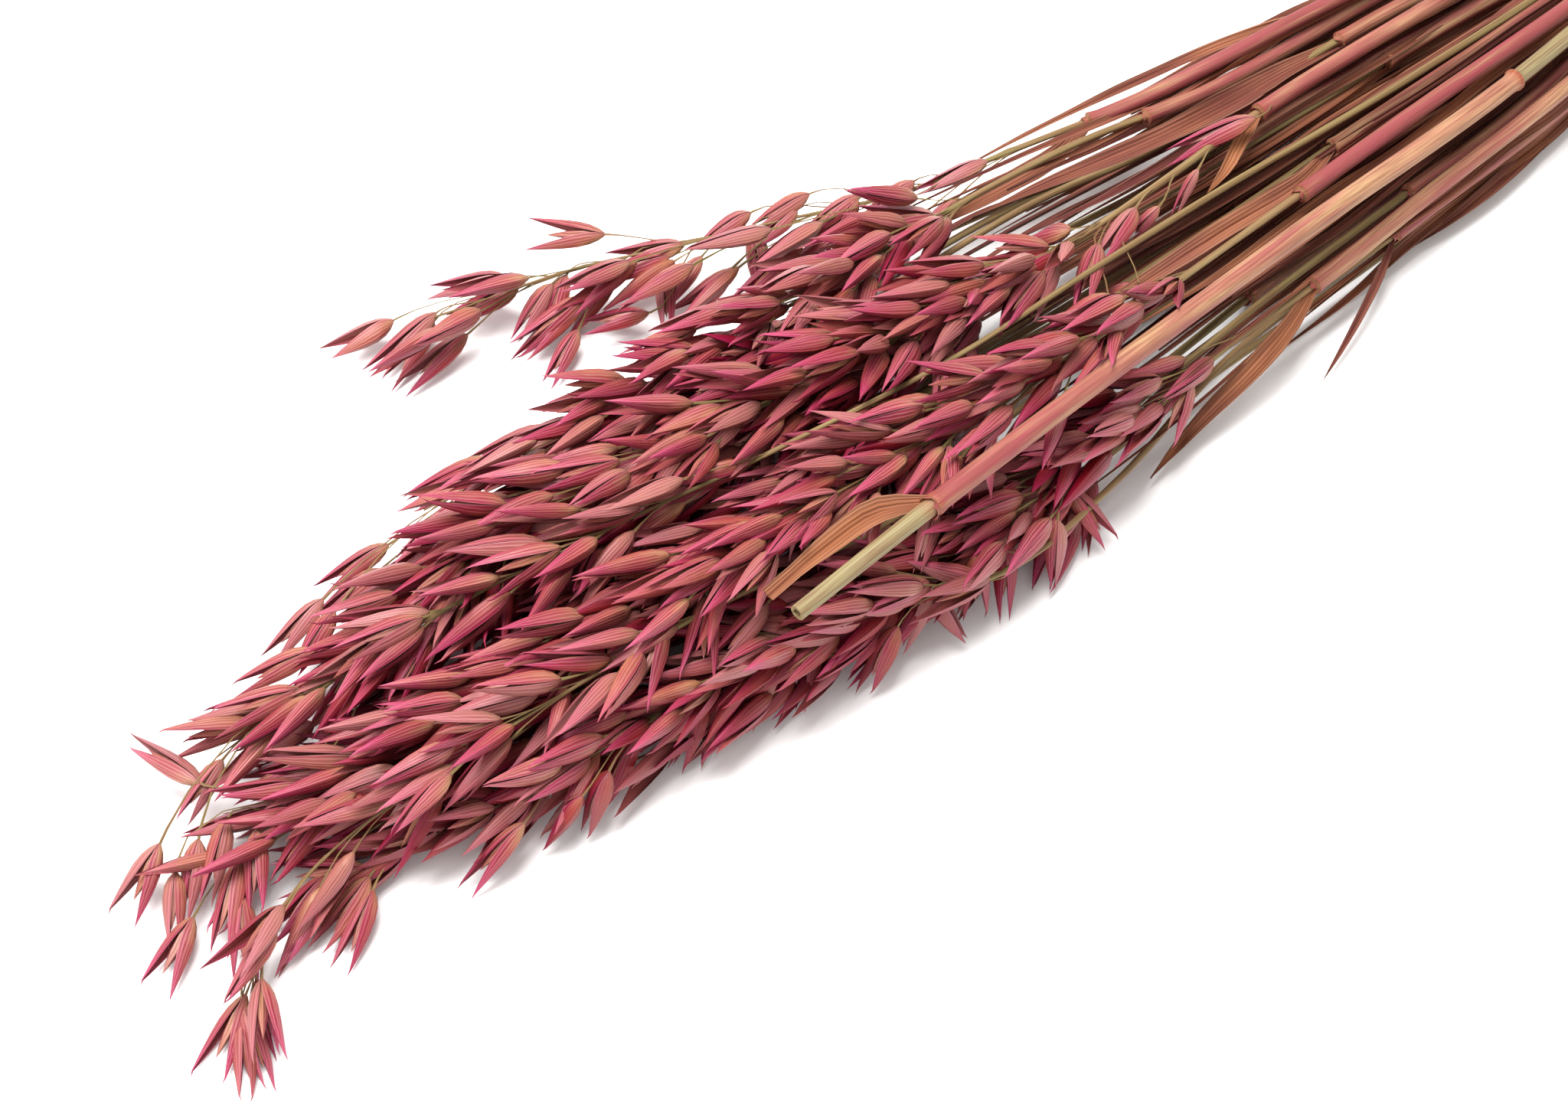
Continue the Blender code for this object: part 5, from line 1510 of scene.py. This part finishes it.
def twine_skins(points, radius, frayed=0.0):
    """Twine along points: each strand's middle runs round the twine's own, and its section is a circle.

    The sides of the path are square to it and to a fixed direction close to X, so that they
    hold for a loop round the straws as well. Towards a frayed end the strands part and thin
    out.
    """
    line, at = even_points(points, TWINE_ROW)
    padded = np.pad(line, ((2, 2), (0, 0)), mode="edge")
    smooth = np.ones(5) / 5
    line = np.stack([np.convolve(padded[:, axis], smooth, mode="valid") for axis in range(3)], axis=1)
    ahead = np.gradient(line, axis=0)
    ahead /= np.linalg.norm(ahead, axis=1, keepdims=True)
    side = np.cross(ahead, (1.0, 0.02, 0.05))
    side /= np.linalg.norm(side, axis=1, keepdims=True)
    up = np.cross(side, ahead)
    loose = np.maximum((at - at[-1] + FRAY_LENGTH) / FRAY_LENGTH, 0.0) * frayed
    skins = []
    for strand in range(STRANDS):
        phase = 2 * math.pi * (at / LAY_LENGTH + strand / STRANDS)
        off = radius * (0.48 + 1.1 * loose)[:, None]
        middle = line + off * (np.cos(phase)[:, None] * side + np.sin(phase)[:, None] * up)
        reach = (radius * STRAND_SHARE * (1 - 0.75 * loose))[:, None]
        rings = lay_out(middle, side, up, *circle(reach, STRAND_SIDES))
        uv = round_uv(at, radius * STRAND_SHARE, STRAND_SIDES)
        uv[..., 0] += 0.9 * at[:, None]
        dye = stack_dye(rings.shape[:2], strand / STRANDS, 0.5, 0.0, 0.2 * strand)
        skins.append((close_skin(rings[None], uv, dye[None]), 0))
    return skins


def make_twine_finish():
    """Jute: pale tan to brown fibres that run slantwise along each strand."""
    jute = Finish("jute_twine", 0.85, 0.15)
    fibres, streaks = jute.fibres(jute.place, 0.2, 5.0)
    whole = jute.blend(fibres, (196, 160, 112), (140, 104, 68))
    whole = jute.blend(jute.reckon("MULTIPLY", streaks, 0.4), whole, (214, 182, 136))
    return jute.done(whole, fibres, 0.9, 0.0002)


straws = [(stalk["route"], CULM_RADIUS) for stalk in stalks.values()]
outline = tie_outline(straws + [(cut_route, CUT_STALK_RADIUS)])
top = max(range(len(outline)), key=lambda index: outline[index][1])
loop = outline[top:] + outline[:top]
winding = loop * TIE_TURNS + loop[:1]
span = TURN_PITCH * (TIE_TURNS - 1)
twine_path = [
    (TIE_X - span / 2 + span * index / (len(winding) - 1), y, z) for index, (y, z) in enumerate(winding)
]
knot = np.array((TIE_X, loop[0][0], loop[0][1] + KNOT_RISE))
t = np.linspace(0.0, 2 * math.pi, 60)
knot_path = knot + KNOT_SIZE * np.stack(
    (np.sin(t) + 1.6 * np.sin(2 * t), np.cos(t) - 1.6 * np.cos(2 * t), -0.75 * np.sin(3 * t)), axis=1)
tie_skins = twine_skins(twine_path, TWINE_RADIUS) + twine_skins(knot_path, KNOT_RADIUS)
for side in (-1, 1):
    tail = Route([knot + (x, y * side, z) for x, y, z in TAIL])
    tie_skins += twine_skins(tail.at(np.linspace(0.0, tail.length, 12)), KNOT_RADIUS, TAIL_FRAY)
tie = make_piece("dressed_tie", tie_skins, (make_twine_finish(),))
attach(tie, "root")
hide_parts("tie")
